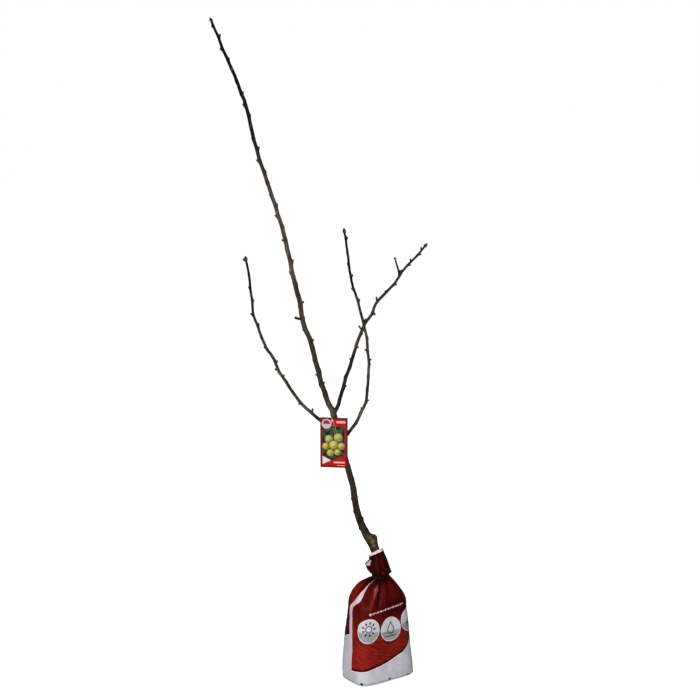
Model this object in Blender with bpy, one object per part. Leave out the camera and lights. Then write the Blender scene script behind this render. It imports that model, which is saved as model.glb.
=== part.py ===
"""Young bare asian pear tree on its root ball, packed in a tied film bag, with a hanging plant label.

Metres, +Z up. The origin is the middle of the bag's flat underside, and -Y is the front.
Routes and diameters are written in millimetres and scaled by MM when they are read.
"""

import math
import random

import bmesh
import bpy
from mathutils import Matrix, Vector

MM = 0.001
GAP = 0.3 * MM                    # clearance that touching pieces keep
SPLIT_GAP = 0.5 * MM              # clearance where one limb carries on as the next
SEED = 7

# Film bag: a rounded box below, gathered to a pleated neck, with a collar round the trunk
BAG_YAW = math.radians(35)        # the front panel is turned towards +X
BAG_WALL = 1.2 * MM
BAG_SEGMENTS = 48
BAG_PLEATS = 8
BASE_EDGE = 6 * MM                # rounding of the edge round the underside
BODY_HEIGHTS = [6 * MM, 55 * MM, 105 * MM, 155 * MM]
SHOULDER_Z = 195 * MM
SHOULDER_CLIMBS = [0.0, 0.25, 0.45, 0.62, 0.76, 0.87, 0.94, 0.98, 1.0]
NECK_Z = 267 * MM
NECK_RADIUS = 18 * MM
NECK_PLEAT = 2.2 * MM
NECK_CENTRE = Vector((5.5, 0, 0)) * MM
BASE_HALF_WIDTH, BASE_HALF_DEPTH = 91 * MM, 57 * MM
SHOULDER_HALF_WIDTH, SHOULDER_HALF_DEPTH = 76.5 * MM, 47 * MM
BELLY = 3 * MM                    # how far the panels bulge half way up
BODY_SQUARENESS, NECK_SQUARENESS = 4.4, 2.0
SHOULDER_ROUND, SHOULDER_POWER = 1.6, 0.5
BODY_OFFSET = Vector((-4.5, 0, 0)) * MM   # the filled body sags to the left of the neck
BODY_OFFSET_Z = 60 * MM
GATHER_POWER = 12                 # how late the film draws across to the neck as it climbs

# Collar above the tie; shares run from the tie to the rim, along the trunk
TIE_Z = 275 * MM
COLLAR_HEIGHT = 60 * MM
COLLAR_SHARES = [0.0, 0.06, 0.12, 0.2, 0.35, 0.56, 0.6, 0.8, 1.0]
FLARE_START, FLARE_END = 0.06, 0.3
COLLAR_RADIUS = 23 * MM
RIM_RADIUS = 19 * MM
RIM_PLEAT = 1.2 * MM
FLAP_REACH = 13 * MM              # the loose fold on the left of the collar
FLAP_SHARE = 0.57
FLAP_DIRECTION = math.radians(192)
FLAP_SHARPNESS = 3
LEAN_RATE = 1.6                   # how soon the collar turns from upright to the trunk's own lean

# Root ball inside the bag
ROOT_BALL_TOP = 214.7 * MM
ROOT_BALL_TOP_SHARE = 0.5         # width of its flat top, as a share of its body
ROOT_BALL_CLEAR = 0.8 * MM        # how loose the film hangs round it
ROOT_BALL_SHOULDER_CLEAR = 2.5 * MM
ROOT_BALL_DOME_RINGS = 5

# Wire tie round the neck, with its twisted end
TIE_RING_RADIUS = 22.3 * MM
TIE_WIRE_RADIUS = 1.5 * MM
TIE_RING_POINTS = 32
TIE_END_ROUTE = [(27.8, -3, 276), (31.5, -4, 279.5), (34, -4, 284)]
TIE_END_WIDTHS = [(0, 3.2), (8, 3.4), (11, 2.4)]

# Main stem: root flare, graft union, scion, fork, then the leader. Widths are (distance, diameter)
FORK_Z = 705.6 * MM
TRUNK_ROUTE = [
    (5, 0, 215), (5, 0, 262), (0, 1, 303), (-7.5, 3, 337), (-17, 5, 358), (-31, 6, 381),
    (-44, 5, 407), (-53, 2, 434), (-61, -1, 473), (-66, -3, 510), (-78, -4, 556), (-98, -4, 630),
]
LEADER_ROUTE = [
    (-116.4, -4, 705.6), (-129.5, -3, 731.5), (-149, 0, 790.5), (-172.5, 8, 882), (-194.5, 10, 943),
    (-200, 12, 986.5), (-213, 14, 1034.5), (-239, 20, 1155), (-266, 22, 1245), (-306, 20, 1369),
    (-331, 15, 1482), (-353, 17, 1540), (-378, 22, 1598), (-416, 34, 1691),
]
STEM_WIDTHS = [
    (0, 40), (25, 30), (52, 24), (125, 22.5), (165, 21), (195, 18), (250, 16), (350, 14.5),
    (500, 13.2), (540, 12), (850, 10.6), (1060, 8.4), (1330, 7.4), (1500, 5.6), (1545, 4.6),
]
LEADER_LENGTH = 335 * MM          # of older wood, above the fork

# Healed stub of the rootstock beside the graft union
STUB_ROUTE = [(-11, 3.5, 346), (-12.5, 2, 360), (-12, 1, 372), (-11, 0.5, 379)]
STUB_WIDTHS = [(0, 15), (15, 20), (27, 17), (33, 9)]

# Boughs, each with its younger shoot at the end
LEFT_ROUTE = [
    (-109.8, -1, 665.7), (-148, 3, 687), (-179, 0, 712.5), (-208, -6, 745), (-248, -18, 809.5),
    (-281, -30, 873), (-304.5, -42, 936), (-316, -48, 967), (-320.5, -55, 1028), (-331.5, -64, 1112),
]
LEFT_WIDTHS = [(0, 8.4), (50, 7.4), (235, 6.4), (340, 5.2), (510, 4.4), (526, 3.8)]
LEFT_SPLIT = 345 * MM

CENTRE_ROUTE = [
    (-117, -4.5, 700), (-103, -11, 730.5), (-90.5, -24, 780), (-71, -40, 844), (-52, -52, 907),
    (-39.5, -58, 938), (-22, -65, 969), (-11.5, -70, 997.5), (18.5, -79, 1031), (44, -87, 1061.5),
    (64, -94, 1091.5), (89, -100, 1117), (112.5, -106, 1147.5),
]
CENTRE_WIDTHS = [(0, 9.4), (50, 9), (205, 7.2), (360, 5.8), (505, 4.4), (522, 3.8)]
CENTRE_SPLIT = 266 * MM

RIGHT_ROUTE = [
    (-97, -2, 626), (-78, 8, 648), (-58.5, 26, 675.5), (-43, 42, 703.5), (-31.5, 56, 732.5),
    (-26, 74, 792.5), (-26, 84, 833), (-31, 94, 884), (-41, 102, 930), (-58, 109, 992),
    (-72, 113, 1038.5), (-79.5, 117, 1098), (-89.5, 120, 1164),
]
RIGHT_WIDTHS = [(0, 8.8), (70, 7.6), (175, 6.6), (350, 5.8), (565, 4.8), (583, 4)]
RIGHT_BEND = 140 * MM
RIGHT_SPLIT = 348 * MM

# Side twig of the centre shoot, and the fine spur beside it
SIDE_TWIG_ROUTE = [(44, -87, 1061.5), (46, -86, 1068), (44.5, -84, 1080), (40, -81, 1095), (36, -78, 1109)]
SIDE_TWIG_WIDTHS = [(0, 4.4), (8, 3.8), (45, 3), (50, 2)]
SIDE_SPUR_ROUTE = [(45, -84, 1079), (49, -84, 1079), (55, -83.5, 1080)]
SIDE_SPUR_WIDTHS = [(0, 2.2), (8, 2), (10, 1.4)]
SIDE_TWIG_STEP = 9 * MM

# Nodes climb each limb in a two-fifths spiral. The limb kinks a little towards each node's bud
NODE_TURN = math.radians(144)
NODE_JITTER = 2.5 * MM
NODE_CLEARANCE = 7 * MM           # no node nearer than this to a limb's end
NODE_SWELL = 1.12
KINK = 1.1 * MM
STRAIGHT_END = 2 * MM             # a limb's last stretch is straight, so that its cut is square
BUD_LENGTH = 7.5 * MM
BUD_SHORTEST, BUD_LONGEST = 0.8, 1.15
BUD_LEAN = math.radians(38)
BUD_SHARE = 0.72                  # radius of a bud's foot, as a share of its shoot's radius
BUD_TIP_SHARE = 0.25
TIP_BUD_LENGTH = 9 * MM
TIP_BUD_SWELL, TIP_BUD_SWELL_PLACE = 1.25, 0.4
TIP_BUD_POINT = 0.3               # radius of its point, as a share of the shoot's

# Plant label on its thread
LABEL_WIDTH, LABEL_HEIGHT, LABEL_THICKNESS = 70 * MM, 130 * MM, 0.8 * MM
LABEL_CORNER = 1.5 * MM
LABEL_YAW = math.radians(14)      # its right edge stands nearer the front
LABEL_CENTRE = Vector((-114.8, -14.6, 630.5)) * MM
HOLE_RADIUS = 2.5 * MM
HOLE_OFFSET = Vector((-4, 57)) * MM
THREAD_RADIUS = 0.6 * MM
THREAD_ROUTE = [
    (-118.6, -13.6, 688.6), (-119.3, -16.4, 691.5), (-121.5, -15.4, 698), (-125, -10, 701.5),
    (-124.2, -1.5, 703.5), (-117, 3.85, 703.5), (-108.6, 1.2, 700.5), (-106, -6, 696.5),
    (-109.5, -10.9, 692), (-114.5, -11.6, 689.8),
]
THREAD_STEP = 3 * MM

# Resolution of the round pieces
TRUNK_SIDES, BOUGH_SIDES, SHOOT_SIDES, TWIG_SIDES, BUD_SIDES = 12, 10, 8, 6, 5
TRUNK_STEP = 17 * MM
STUB_STEP = 6 * MM
SMOOTH_ANGLE = math.radians(40)


def clear_scene():
    for scene_object in list(bpy.data.objects):
        bpy.data.objects.remove(scene_object, do_unlink=True)


def new_collection(name):
    collection = bpy.data.collections.new(name)
    bpy.context.scene.collection.children.link(collection)
    return collection


def material(name, colour, roughness, metallic=0.0):
    result = bpy.data.materials.new(name)
    result.use_nodes = True
    shader = result.node_tree.nodes["Principled BSDF"]
    shader.inputs["Base Color"].default_value = (*colour, 1.0)
    shader.inputs["Roughness"].default_value = roughness
    shader.inputs["Metallic"].default_value = metallic
    return result


def add_object(name, mesh, collection, surface=None):
    solid = bpy.data.objects.new(name, mesh)
    collection.objects.link(solid)
    if surface:
        mesh.materials.clear()
        mesh.materials.append(surface)
    mesh.shade_smooth()
    mesh.set_sharp_from_angle(angle=SMOOTH_ANGLE)
    return solid


def evaluated_mesh(source):
    bpy.context.view_layer.update()
    return bpy.data.meshes.new_from_object(source.evaluated_get(bpy.context.evaluated_depsgraph_get()))


class Route:
    """A smooth curve through a few points, read by the distance along it."""

    SAMPLES = 12

    def __init__(self, points, cyclic=False):
        ends = [Vector(point) * MM for point in points]
        if cyclic:
            around = [ends[-1], *ends, ends[0], ends[1]]
        else:
            around = [2 * ends[0] - ends[1], *ends, 2 * ends[-1] - ends[-2]]
        self.points = []
        for before, start, end, after in zip(around, around[1:], around[2:], around[3:]):
            for sample in range(self.SAMPLES):
                self.points.append(self.between(before, start, end, after, sample / self.SAMPLES))
        self.points.append(around[-2].copy())
        self.lengths = [0.0]
        for start, end in zip(self.points, self.points[1:]):
            self.lengths.append(self.lengths[-1] + (end - start).length)
        self.length = self.lengths[-1]

    @staticmethod
    def between(before, start, end, after, t):
        bend = 2 * before - 5 * start + 4 * end - after
        turn = 3 * start - before - 3 * end + after
        return start + 0.5 * t * (end - before + t * (bend + t * turn))

    def at(self, distance):
        distance = min(max(distance, 0.0), self.length)
        index = 1
        while index < len(self.lengths) - 1 and self.lengths[index] < distance:
            index += 1
        span = self.lengths[index] - self.lengths[index - 1]
        share = (distance - self.lengths[index - 1]) / span
        return self.points[index - 1].lerp(self.points[index], share)

    def heading(self, distance, reach=2 * MM):
        return (self.at(distance + reach) - self.at(distance - reach)).normalized()

    def distance_at(self, height):
        """How far along an upright route it first reaches a height."""
        for point, length in zip(self.points, self.lengths):
            if point.z >= height:
                return length
        return self.length


class Limb:
    """A route with its diameters, and the nodes that climb it in a spiral."""

    def __init__(self, name, points, widths, first_node=None, spacing=29 * MM, phase=0.0):
        self.route = Route(points)
        self.length = self.route.length
        self.widths = widths
        self.spacing = spacing
        self.nodes = []
        draw = random.Random(f"{SEED} {name}")
        place, turn = first_node, phase
        while place is not None and place < self.length - TIP_BUD_LENGTH - NODE_CLEARANCE:
            distance = place + draw.uniform(-NODE_JITTER, NODE_JITTER)
            self.nodes.append((distance, outward(self.route.heading(distance), turn)))
            place += spacing
            turn += NODE_TURN

    def radius(self, distance):
        place = distance / MM
        for (start, first), (end, last) in zip(self.widths, self.widths[1:]):
            if place <= end:
                return 0.5 * MM * (first + (last - first) * (place - start) / (end - start))
        return 0.5 * MM * self.widths[-1][1]

    def profile(self, start, end, grow=0.0):
        """Points and radii between two distances: at both ends, at each node and half way between."""
        inner = [(start, 1.0, None), (start + STRAIGHT_END, 1.0, None)]
        for distance, side in self.nodes:
            if start + NODE_CLEARANCE < distance < end - NODE_CLEARANCE:
                inner.append((distance, NODE_SWELL, side))
            halfway = distance + 0.5 * self.spacing
            if start + NODE_CLEARANCE < halfway < end - NODE_CLEARANCE:
                inner.append((halfway, 1.0, None))
        inner += [(end - STRAIGHT_END, 1.0, None), (end, 1.0, None)]
        points = [self.route.at(place) + (side * KINK if side else Vector()) for place, _, side in inner]
        radii = [self.radius(place) * swell + grow for place, swell, _ in inner]
        return points, radii

    def plain_profile(self, start, end, step, grow=0.0):
        """Points and radii between two distances, evenly spaced."""
        count = max(2, round((end - start) / step))
        places = [start + (end - start) * index / count for index in range(count + 1)]
        places.insert(1, start + STRAIGHT_END)
        places.insert(-1, end - STRAIGHT_END)
        return [self.route.at(place) for place in places], [self.radius(place) + grow for place in places]


def outward(heading, angle):
    """The direction square to heading that is turned by angle from the front."""
    front = Vector((0, -1, 0))
    front = (front - heading * front.dot(heading)).normalized()
    return Matrix.Rotation(angle, 3, heading) @ front


def tube(name, profile, sides, collection, surface=None, cyclic=False):
    """A round limb or wire: a curve with a bevel, made a mesh with its caps welded on."""
    points, radii = profile
    curve = bpy.data.curves.new(name, "CURVE")
    curve.dimensions = "3D"
    curve.bevel_depth = 1.0
    curve.bevel_resolution = (sides - 4) // 2
    curve.use_fill_caps = not cyclic
    spline = curve.splines.new("POLY")
    spline.points.add(len(points) - 1)
    spline.use_cyclic_u = cyclic
    for spline_point, point, radius in zip(spline.points, points, radii):
        spline_point.co = (*point, 1.0)
        spline_point.radius = radius
    guide = bpy.data.objects.new(name, curve)
    collection.objects.link(guide)
    mesh = evaluated_mesh(guide)
    placement = guide.matrix_world.copy()
    bpy.data.objects.remove(guide, do_unlink=True)
    bpy.data.curves.remove(curve)
    welded = bmesh.new()
    welded.from_mesh(mesh)
    bmesh.ops.remove_doubles(welded, verts=welded.verts, dist=0.001 * MM)
    bmesh.ops.recalc_face_normals(welded, faces=welded.faces)
    welded.to_mesh(mesh)
    welded.free()
    mesh.name = name
    solid = add_object(name, mesh, collection, surface)
    solid.matrix_world = placement
    return solid


def add_bud(name, foot, heading, foot_radius, length, collection):
    """A pointed bud that stands on foot and points along heading."""
    shape = bmesh.new()
    turn = heading.to_track_quat("Z", "Y").to_matrix().to_4x4()
    bmesh.ops.create_cone(
        shape, cap_ends=True, segments=BUD_SIDES, radius1=foot_radius, radius2=BUD_TIP_SHARE * foot_radius,
        depth=length, matrix=Matrix.Translation(foot + heading * length / 2) @ turn,
    )
    mesh = bpy.data.meshes.new(name)
    shape.to_mesh(mesh)
    shape.free()
    return add_object(name, mesh, collection)


def join_all(body, pieces):
    """Fuse body with every object of the pieces collection, then remove that collection's objects."""
    union = body.modifiers.new("Union", "BOOLEAN")
    union.operation = "UNION"
    union.operand_type = "COLLECTION"
    union.collection = pieces
    union.solver = "EXACT"
    joined = evaluated_mesh(body)
    body.modifiers.clear()
    body.data = joined
    for piece in list(pieces.objects):
        bpy.data.objects.remove(piece, do_unlink=True)
    bpy.data.collections.remove(pieces)
    return body


def cut_clear(body, space):
    """Cut a bough's foot to the side of the stem that carries it."""
    cut = body.modifiers.new("Clear of the stem", "BOOLEAN")
    cut.operation = "DIFFERENCE"
    cut.object = space
    cut.solver = "EXACT"


def bough(name, limb, start, end, collection, surface, sides=BOUGH_SIDES):
    return tube(name, limb.profile(start, end), sides, collection, surface)


def shoot(name, limb, start, collection, surface, twigs=()):
    """A mass of last year's wood: one kinked stem with a bud at every node, and any side twigs, fused."""
    draw = random.Random(f"{SEED} {name} buds")
    end = limb.length - TIP_BUD_LENGTH
    points, radii = limb.profile(start, end)
    tip_radius = radii[-1]
    tip = limb.route.at(limb.length)
    points += [points[-1].lerp(tip, TIP_BUD_SWELL_PLACE), tip]
    radii += [TIP_BUD_SWELL * tip_radius, TIP_BUD_POINT * tip_radius]
    pieces = new_collection(name + " buds")
    for index, (distance, side) in enumerate(limb.nodes):
        if distance < start + NODE_CLEARANCE:
            continue
        heading, radius = limb.route.heading(distance), limb.radius(distance)
        bud_heading = (heading * math.cos(BUD_LEAN) + side * math.sin(BUD_LEAN)).normalized()
        foot = limb.route.at(distance) + side * (KINK + 0.25 * radius) - heading * 0.5 * radius
        length = radius + BUD_LENGTH * draw.uniform(BUD_SHORTEST, BUD_LONGEST)
        add_bud(f"bud {index}", foot, bud_heading, radius * BUD_SHARE, length, pieces)
    for index, (route, widths) in enumerate(twigs):
        twig = Limb("twig", route, widths)
        tube(f"twig {index}", twig.plain_profile(0, twig.length, SIDE_TWIG_STEP), TWIG_SIDES, pieces)
    stem = tube(name, (points, radii), SHOOT_SIDES, collection, surface)
    return join_all(stem, pieces)


def loft(name, rings, collection, surface):
    """A closed skin over rings of equal count, with a flat face on the first ring and on the last.

    Each four-sided face is split along its shorter diagonal, so that nested skins bend alike.
    """
    shape = bmesh.new()
    rows = [[shape.verts.new(point) for point in ring] for ring in rings]
    for lower, upper in zip(rows, rows[1:]):
        for index in range(len(lower)):
            after = (index + 1) % len(lower)
            shape.faces.new((lower[index], lower[after], upper[after], upper[index]))
    bmesh.ops.triangulate(shape, faces=shape.faces, quad_method="SHORT_EDGE")
    shape.faces.new(reversed(rows[0]))
    shape.faces.new(rows[-1])
    bmesh.ops.recalc_face_normals(shape, faces=shape.faces)
    mesh = bpy.data.meshes.new(name)
    shape.to_mesh(mesh)
    shape.free()
    return add_object(name, mesh, collection, surface)


def section_radius(angle, half_width, half_depth, squareness):
    """Distance from the middle to the edge of a rounded rectangle, in the direction of angle."""
    across = abs(math.cos(angle) / half_width) ** squareness
    along = abs(math.sin(angle) / half_depth) ** squareness
    return (across + along) ** (-1 / squareness)


def shoulder_climb(height):
    """Share of the way up from the bag's shoulder to its neck."""
    return max(0.0, (height - SHOULDER_Z) / (NECK_Z - SHOULDER_Z))


def bag_section(height):
    """Half width, half depth, squareness and pleat depth of the bag between its underside and neck."""
    rise = min(height / SHOULDER_Z, 1.0)
    half_width = BASE_HALF_WIDTH + (SHOULDER_HALF_WIDTH - BASE_HALF_WIDTH) * rise
    half_depth = BASE_HALF_DEPTH + (SHOULDER_HALF_DEPTH - BASE_HALF_DEPTH) * rise
    half_depth += BELLY * math.sin(math.pi * rise)
    if height <= SHOULDER_Z:
        return half_width, half_depth, BODY_SQUARENESS, 0.0
    climb = shoulder_climb(height)
    share = (1 - climb ** SHOULDER_ROUND) ** SHOULDER_POWER
    half_width = NECK_RADIUS + (SHOULDER_HALF_WIDTH - NECK_RADIUS) * share
    half_depth = NECK_RADIUS + (SHOULDER_HALF_DEPTH - NECK_RADIUS) * share
    squareness = NECK_SQUARENESS + (BODY_SQUARENESS - NECK_SQUARENESS) * (1 - climb)
    return half_width, half_depth, squareness, NECK_PLEAT * climb


def bag_ring(height, inset=0.0, lift=0.0):
    """One ring of the bag's body, moved in by inset."""
    half_width, half_depth, squareness, pleat = bag_section(height)
    middle = BODY_OFFSET * min((height - BODY_HEIGHTS[0]) / BODY_OFFSET_Z, 1.0)
    middle = middle.lerp(NECK_CENTRE, shoulder_climb(height) ** GATHER_POWER)
    ring = []
    for index in range(BAG_SEGMENTS):
        angle = 2 * math.pi * index / BAG_SEGMENTS
        radius = section_radius(angle, half_width, half_depth, squareness) - inset
        radius += pleat * math.cos(BAG_PLEATS * angle)
        turned = angle + BAG_YAW
        ring.append(middle + Vector((math.cos(turned) * radius, math.sin(turned) * radius, height + lift)))
    return ring


def collar_ring(share, stem, inset=0.0, flap=True):
    """One ring of the collar, square to the trunk, at a share of the way from the tie to the rim."""
    climb = COLLAR_HEIGHT * share
    place = stem.route.distance_at(TIE_Z) + climb
    blend = min(1.0, LEAN_RATE * max(0.0, share - FLARE_START))
    middle = (NECK_CENTRE + Vector((0, 0, TIE_Z + climb))).lerp(stem.route.at(place), blend)
    axis = Vector((0, 0, 1)).lerp(stem.route.heading(place, 12 * MM), blend).normalized()
    side = Vector((0, 1, 0)).cross(axis).normalized()
    back = axis.cross(side)
    if share < FLARE_END:
        flare = max(0.0, (share - FLARE_START) / (FLARE_END - FLARE_START))
        radius = NECK_RADIUS + (COLLAR_RADIUS - NECK_RADIUS) * math.sin(math.pi / 2 * flare)
    else:
        radius = COLLAR_RADIUS + (RIM_RADIUS - COLLAR_RADIUS) * (share - FLARE_END) / (1 - FLARE_END)
    pleat = NECK_PLEAT + (RIM_PLEAT - NECK_PLEAT) * share
    flap_reach = FLAP_REACH * share / FLAP_SHARE if flap and FLARE_START < share <= FLAP_SHARE else 0.0
    ring = []
    for index in range(BAG_SEGMENTS):
        angle = 2 * math.pi * index / BAG_SEGMENTS
        turned = angle + BAG_YAW
        reach = radius + pleat * math.cos(BAG_PLEATS * angle) - inset
        reach += flap_reach * max(0.0, math.cos(turned - FLAP_DIRECTION)) ** FLAP_SHARPNESS
        ring.append(middle + side * math.cos(turned) * reach + back * math.sin(turned) * reach)
    return ring


def make_bag(stem, collection):
    film = material("bag_film", (0.36, 0.012, 0.018), 0.28)
    shoulder = [SHOULDER_Z + (NECK_Z - SHOULDER_Z) * climb for climb in SHOULDER_CLIMBS]
    heights = BODY_HEIGHTS + shoulder
    floor = BODY_HEIGHTS[0]
    outer = [bag_ring(floor, BASE_EDGE, -floor), bag_ring(floor, 0.3 * BASE_EDGE, -0.7 * floor)]
    outer += [bag_ring(height) for height in heights]
    outer += [collar_ring(share, stem) for share in COLLAR_SHARES]
    inner = [collar_ring(share, stem, BAG_WALL, flap=False) for share in reversed(COLLAR_SHARES)]
    inner += [bag_ring(height, BAG_WALL, -BAG_WALL * shoulder_climb(height)) for height in reversed(heights)]
    inner.append(bag_ring(floor, BASE_EDGE, BAG_WALL - floor))
    return loft("bag", outer + inner, collection, film)


def make_root_ball(collection):
    """Peat and roots that fill the bag to its shoulders, with a flat top that the trunk stands on."""
    peat = material("root_ball_peat", (0.05, 0.032, 0.022), 0.95)
    clear = BAG_WALL + ROOT_BALL_CLEAR
    floor, dome = BODY_HEIGHTS[0], BODY_HEIGHTS[-1]
    rings = [bag_ring(floor, BASE_EDGE + GAP, BAG_WALL + GAP - floor)]
    rings += [bag_ring(height, clear) for height in BODY_HEIGHTS[:-1]]
    widest = bag_ring(dome, BAG_WALL + ROOT_BALL_SHOULDER_CLEAR)
    rings.append(widest)
    middle = sum(widest, Vector()) / len(widest)
    for step in range(1, ROOT_BALL_DOME_RINGS + 1):
        turn = math.pi / 2 * step / ROOT_BALL_DOME_RINGS
        share = ROOT_BALL_TOP_SHARE + (1 - ROOT_BALL_TOP_SHARE) * math.cos(turn)
        rise = Vector((0, 0, (ROOT_BALL_TOP - dome) * math.sin(turn)))
        rings.append([middle + (point - middle) * share + rise for point in widest])
    return loft("root_ball", rings, collection, peat)


def make_tie(collection):
    wire = material("bag_tie_wire", (0.03, 0.012, 0.012), 0.4)
    middle = NECK_CENTRE + Vector((0, 0, TIE_Z))
    ring = []
    for index in range(TIE_RING_POINTS):
        angle = 2 * math.pi * index / TIE_RING_POINTS
        ring.append(middle + Vector((math.cos(angle), math.sin(angle), 0)) * TIE_RING_RADIUS)
    radii = [TIE_WIRE_RADIUS] * TIE_RING_POINTS
    tie = tube("bag_tie", (ring, radii), TWIG_SIDES, collection, wire, cyclic=True)
    end = Limb("tie end", TIE_END_ROUTE, TIE_END_WIDTHS)
    ends = new_collection("bag_tie end")
    tube("tie end", end.plain_profile(0, end.length, STUB_STEP), TWIG_SIDES, ends)
    return join_all(tie, ends)


def make_trunk(stem, fork, collection, bark):
    profile = stem.plain_profile(0, fork - SPLIT_GAP / 2, TRUNK_STEP)
    trunk = tube("trunk", profile, TRUNK_SIDES, collection, bark)
    stub = Limb("stub", STUB_ROUTE, STUB_WIDTHS)
    stubs = new_collection("graft stub")
    tube("stub", stub.plain_profile(0, stub.length, STUB_STEP), BOUGH_SIDES, stubs)
    return join_all(trunk, stubs)


def stem_space(stem, fork, crown, cutters):
    """The stem's own form, grown by the clearance, that cuts the foot of each bough."""
    trunk = stem.plain_profile(0, fork - SPLIT_GAP / 2, TRUNK_STEP, GAP)
    leader = stem.profile(fork + SPLIT_GAP / 2, crown, GAP)
    space = tube("stem space", (trunk[0] + leader[0], trunk[1] + leader[1]), TRUNK_SIDES, cutters)
    space.hide_render = True
    space.display_type = "WIRE"
    return space


def make_tree(stem, collection, cutters):
    bark = material("trunk_bark", (0.11, 0.075, 0.048), 0.8)
    wood = material("bough_bark", (0.10, 0.072, 0.05), 0.75)
    young = material("shoot_bark", (0.055, 0.032, 0.022), 0.6)
    half = SPLIT_GAP / 2
    fork = stem.route.distance_at(FORK_Z)
    crown = fork + LEADER_LENGTH
    make_trunk(stem, fork, collection, bark)
    space = stem_space(stem, fork, crown, cutters)

    bough("leader", stem, fork + half, crown - half, collection, wood, TRUNK_SIDES)
    shoot("leader_shoot", stem, crown + half, collection, young)

    left = Limb("left", LEFT_ROUTE, LEFT_WIDTHS, 13 * MM, 33.5 * MM, math.radians(144))
    cut_clear(bough("left_bough", left, 0, LEFT_SPLIT - half, collection, wood), space)
    shoot("left_shoot", left, LEFT_SPLIT + half, collection, young)

    centre = Limb("centre", CENTRE_ROUTE, CENTRE_WIDTHS, 20 * MM, 31 * MM, math.radians(180))
    cut_clear(bough("centre_bough", centre, 0, CENTRE_SPLIT - half, collection, wood), space)
    shoot("centre_shoot", centre, CENTRE_SPLIT + half, collection, young,
          [(SIDE_TWIG_ROUTE, SIDE_TWIG_WIDTHS), (SIDE_SPUR_ROUTE, SIDE_SPUR_WIDTHS)])

    right = Limb("right", RIGHT_ROUTE, RIGHT_WIDTHS, 31 * MM, 33 * MM, math.radians(348))
    cut_clear(bough("right_bough_lower", right, 0, RIGHT_BEND - half, collection, wood), space)
    bough("right_bough_upper", right, RIGHT_BEND + half, RIGHT_SPLIT - half, collection, wood)
    shoot("right_shoot", right, RIGHT_SPLIT + half, collection, young)


def rounded_rectangle(width, height, corner):
    """An outline with short arcs at its corners, anticlockwise from the lower right."""
    outline = []
    for quarter, (across, up) in enumerate(((1, -1), (1, 1), (-1, 1), (-1, -1))):
        middle = Vector((across * (width / 2 - corner), up * (height / 2 - corner)))
        for step in range(4):
            angle = math.pi / 2 * (quarter - 1 + step / 3)
            outline.append(middle + corner * Vector((math.cos(angle), math.sin(angle))))
    return outline


def circle(middle, radius, count):
    turns = [2 * math.pi * index / count for index in range(count)]
    return [middle + radius * Vector((math.cos(turn), math.sin(turn))) for turn in turns]


def make_label(collection):
    card = material("label_card", (0.45, 0.02, 0.025), 0.35)
    curve = bpy.data.curves.new("label", "CURVE")
    curve.dimensions = "2D"
    curve.fill_mode = "BOTH"
    curve.extrude = LABEL_THICKNESS / 2
    outlines = (rounded_rectangle(LABEL_WIDTH, LABEL_HEIGHT, LABEL_CORNER),
                circle(HOLE_OFFSET, HOLE_RADIUS, 16))
    for outline in outlines:
        spline = curve.splines.new("POLY")
        spline.points.add(len(outline) - 1)
        spline.use_cyclic_u = True
        for spline_point, point in zip(spline.points, outline):
            spline_point.co = (*point, 0.0, 1.0)
    label = bpy.data.objects.new("label", curve)
    collection.objects.link(label)
    curve.materials.append(card)
    label.rotation_euler = (math.pi / 2, 0, -LABEL_YAW)
    label.location = LABEL_CENTRE
    return label


def make_thread(collection):
    pale = material("label_thread", (0.75, 0.6, 0.55), 0.5)
    route = Route(THREAD_ROUTE, cyclic=True)
    count = round(route.length / THREAD_STEP)
    points = [route.at(route.length * index / count) for index in range(count)]
    return tube("label_thread", (points, [THREAD_RADIUS] * count), TWIG_SIDES, collection, pale, cyclic=True)


def main():
    clear_scene()
    parts = new_collection("asian_pear_tree")
    cutters = new_collection("cutters")
    stem = Limb("stem", TRUNK_ROUTE + LEADER_ROUTE, STEM_WIDTHS, 508 * MM, 29 * MM, math.radians(216))
    make_bag(stem, parts)
    make_root_ball(parts)
    make_tie(parts)
    make_tree(stem, parts, cutters)
    make_label(parts)
    make_thread(parts)


main()
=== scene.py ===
"""Looks of the young bare asian pear tree: bark, buds, film bag, wire tie, plant label and thread.

Metres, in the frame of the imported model. The limbs' routes and widths are the source's, in millimetres,
with the small waves that the photo shows. MM scales them when they are read.
"""

import math
import random

import bmesh
import bpy
import numpy as np
from mathutils import Matrix, Vector


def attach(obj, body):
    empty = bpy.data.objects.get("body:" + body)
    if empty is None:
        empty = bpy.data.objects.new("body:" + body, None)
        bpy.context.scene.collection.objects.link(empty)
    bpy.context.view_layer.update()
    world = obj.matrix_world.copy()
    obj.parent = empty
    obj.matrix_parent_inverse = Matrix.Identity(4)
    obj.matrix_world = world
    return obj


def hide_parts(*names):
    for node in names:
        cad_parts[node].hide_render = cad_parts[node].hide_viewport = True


MM = 0.001
SEED = 7

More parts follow.
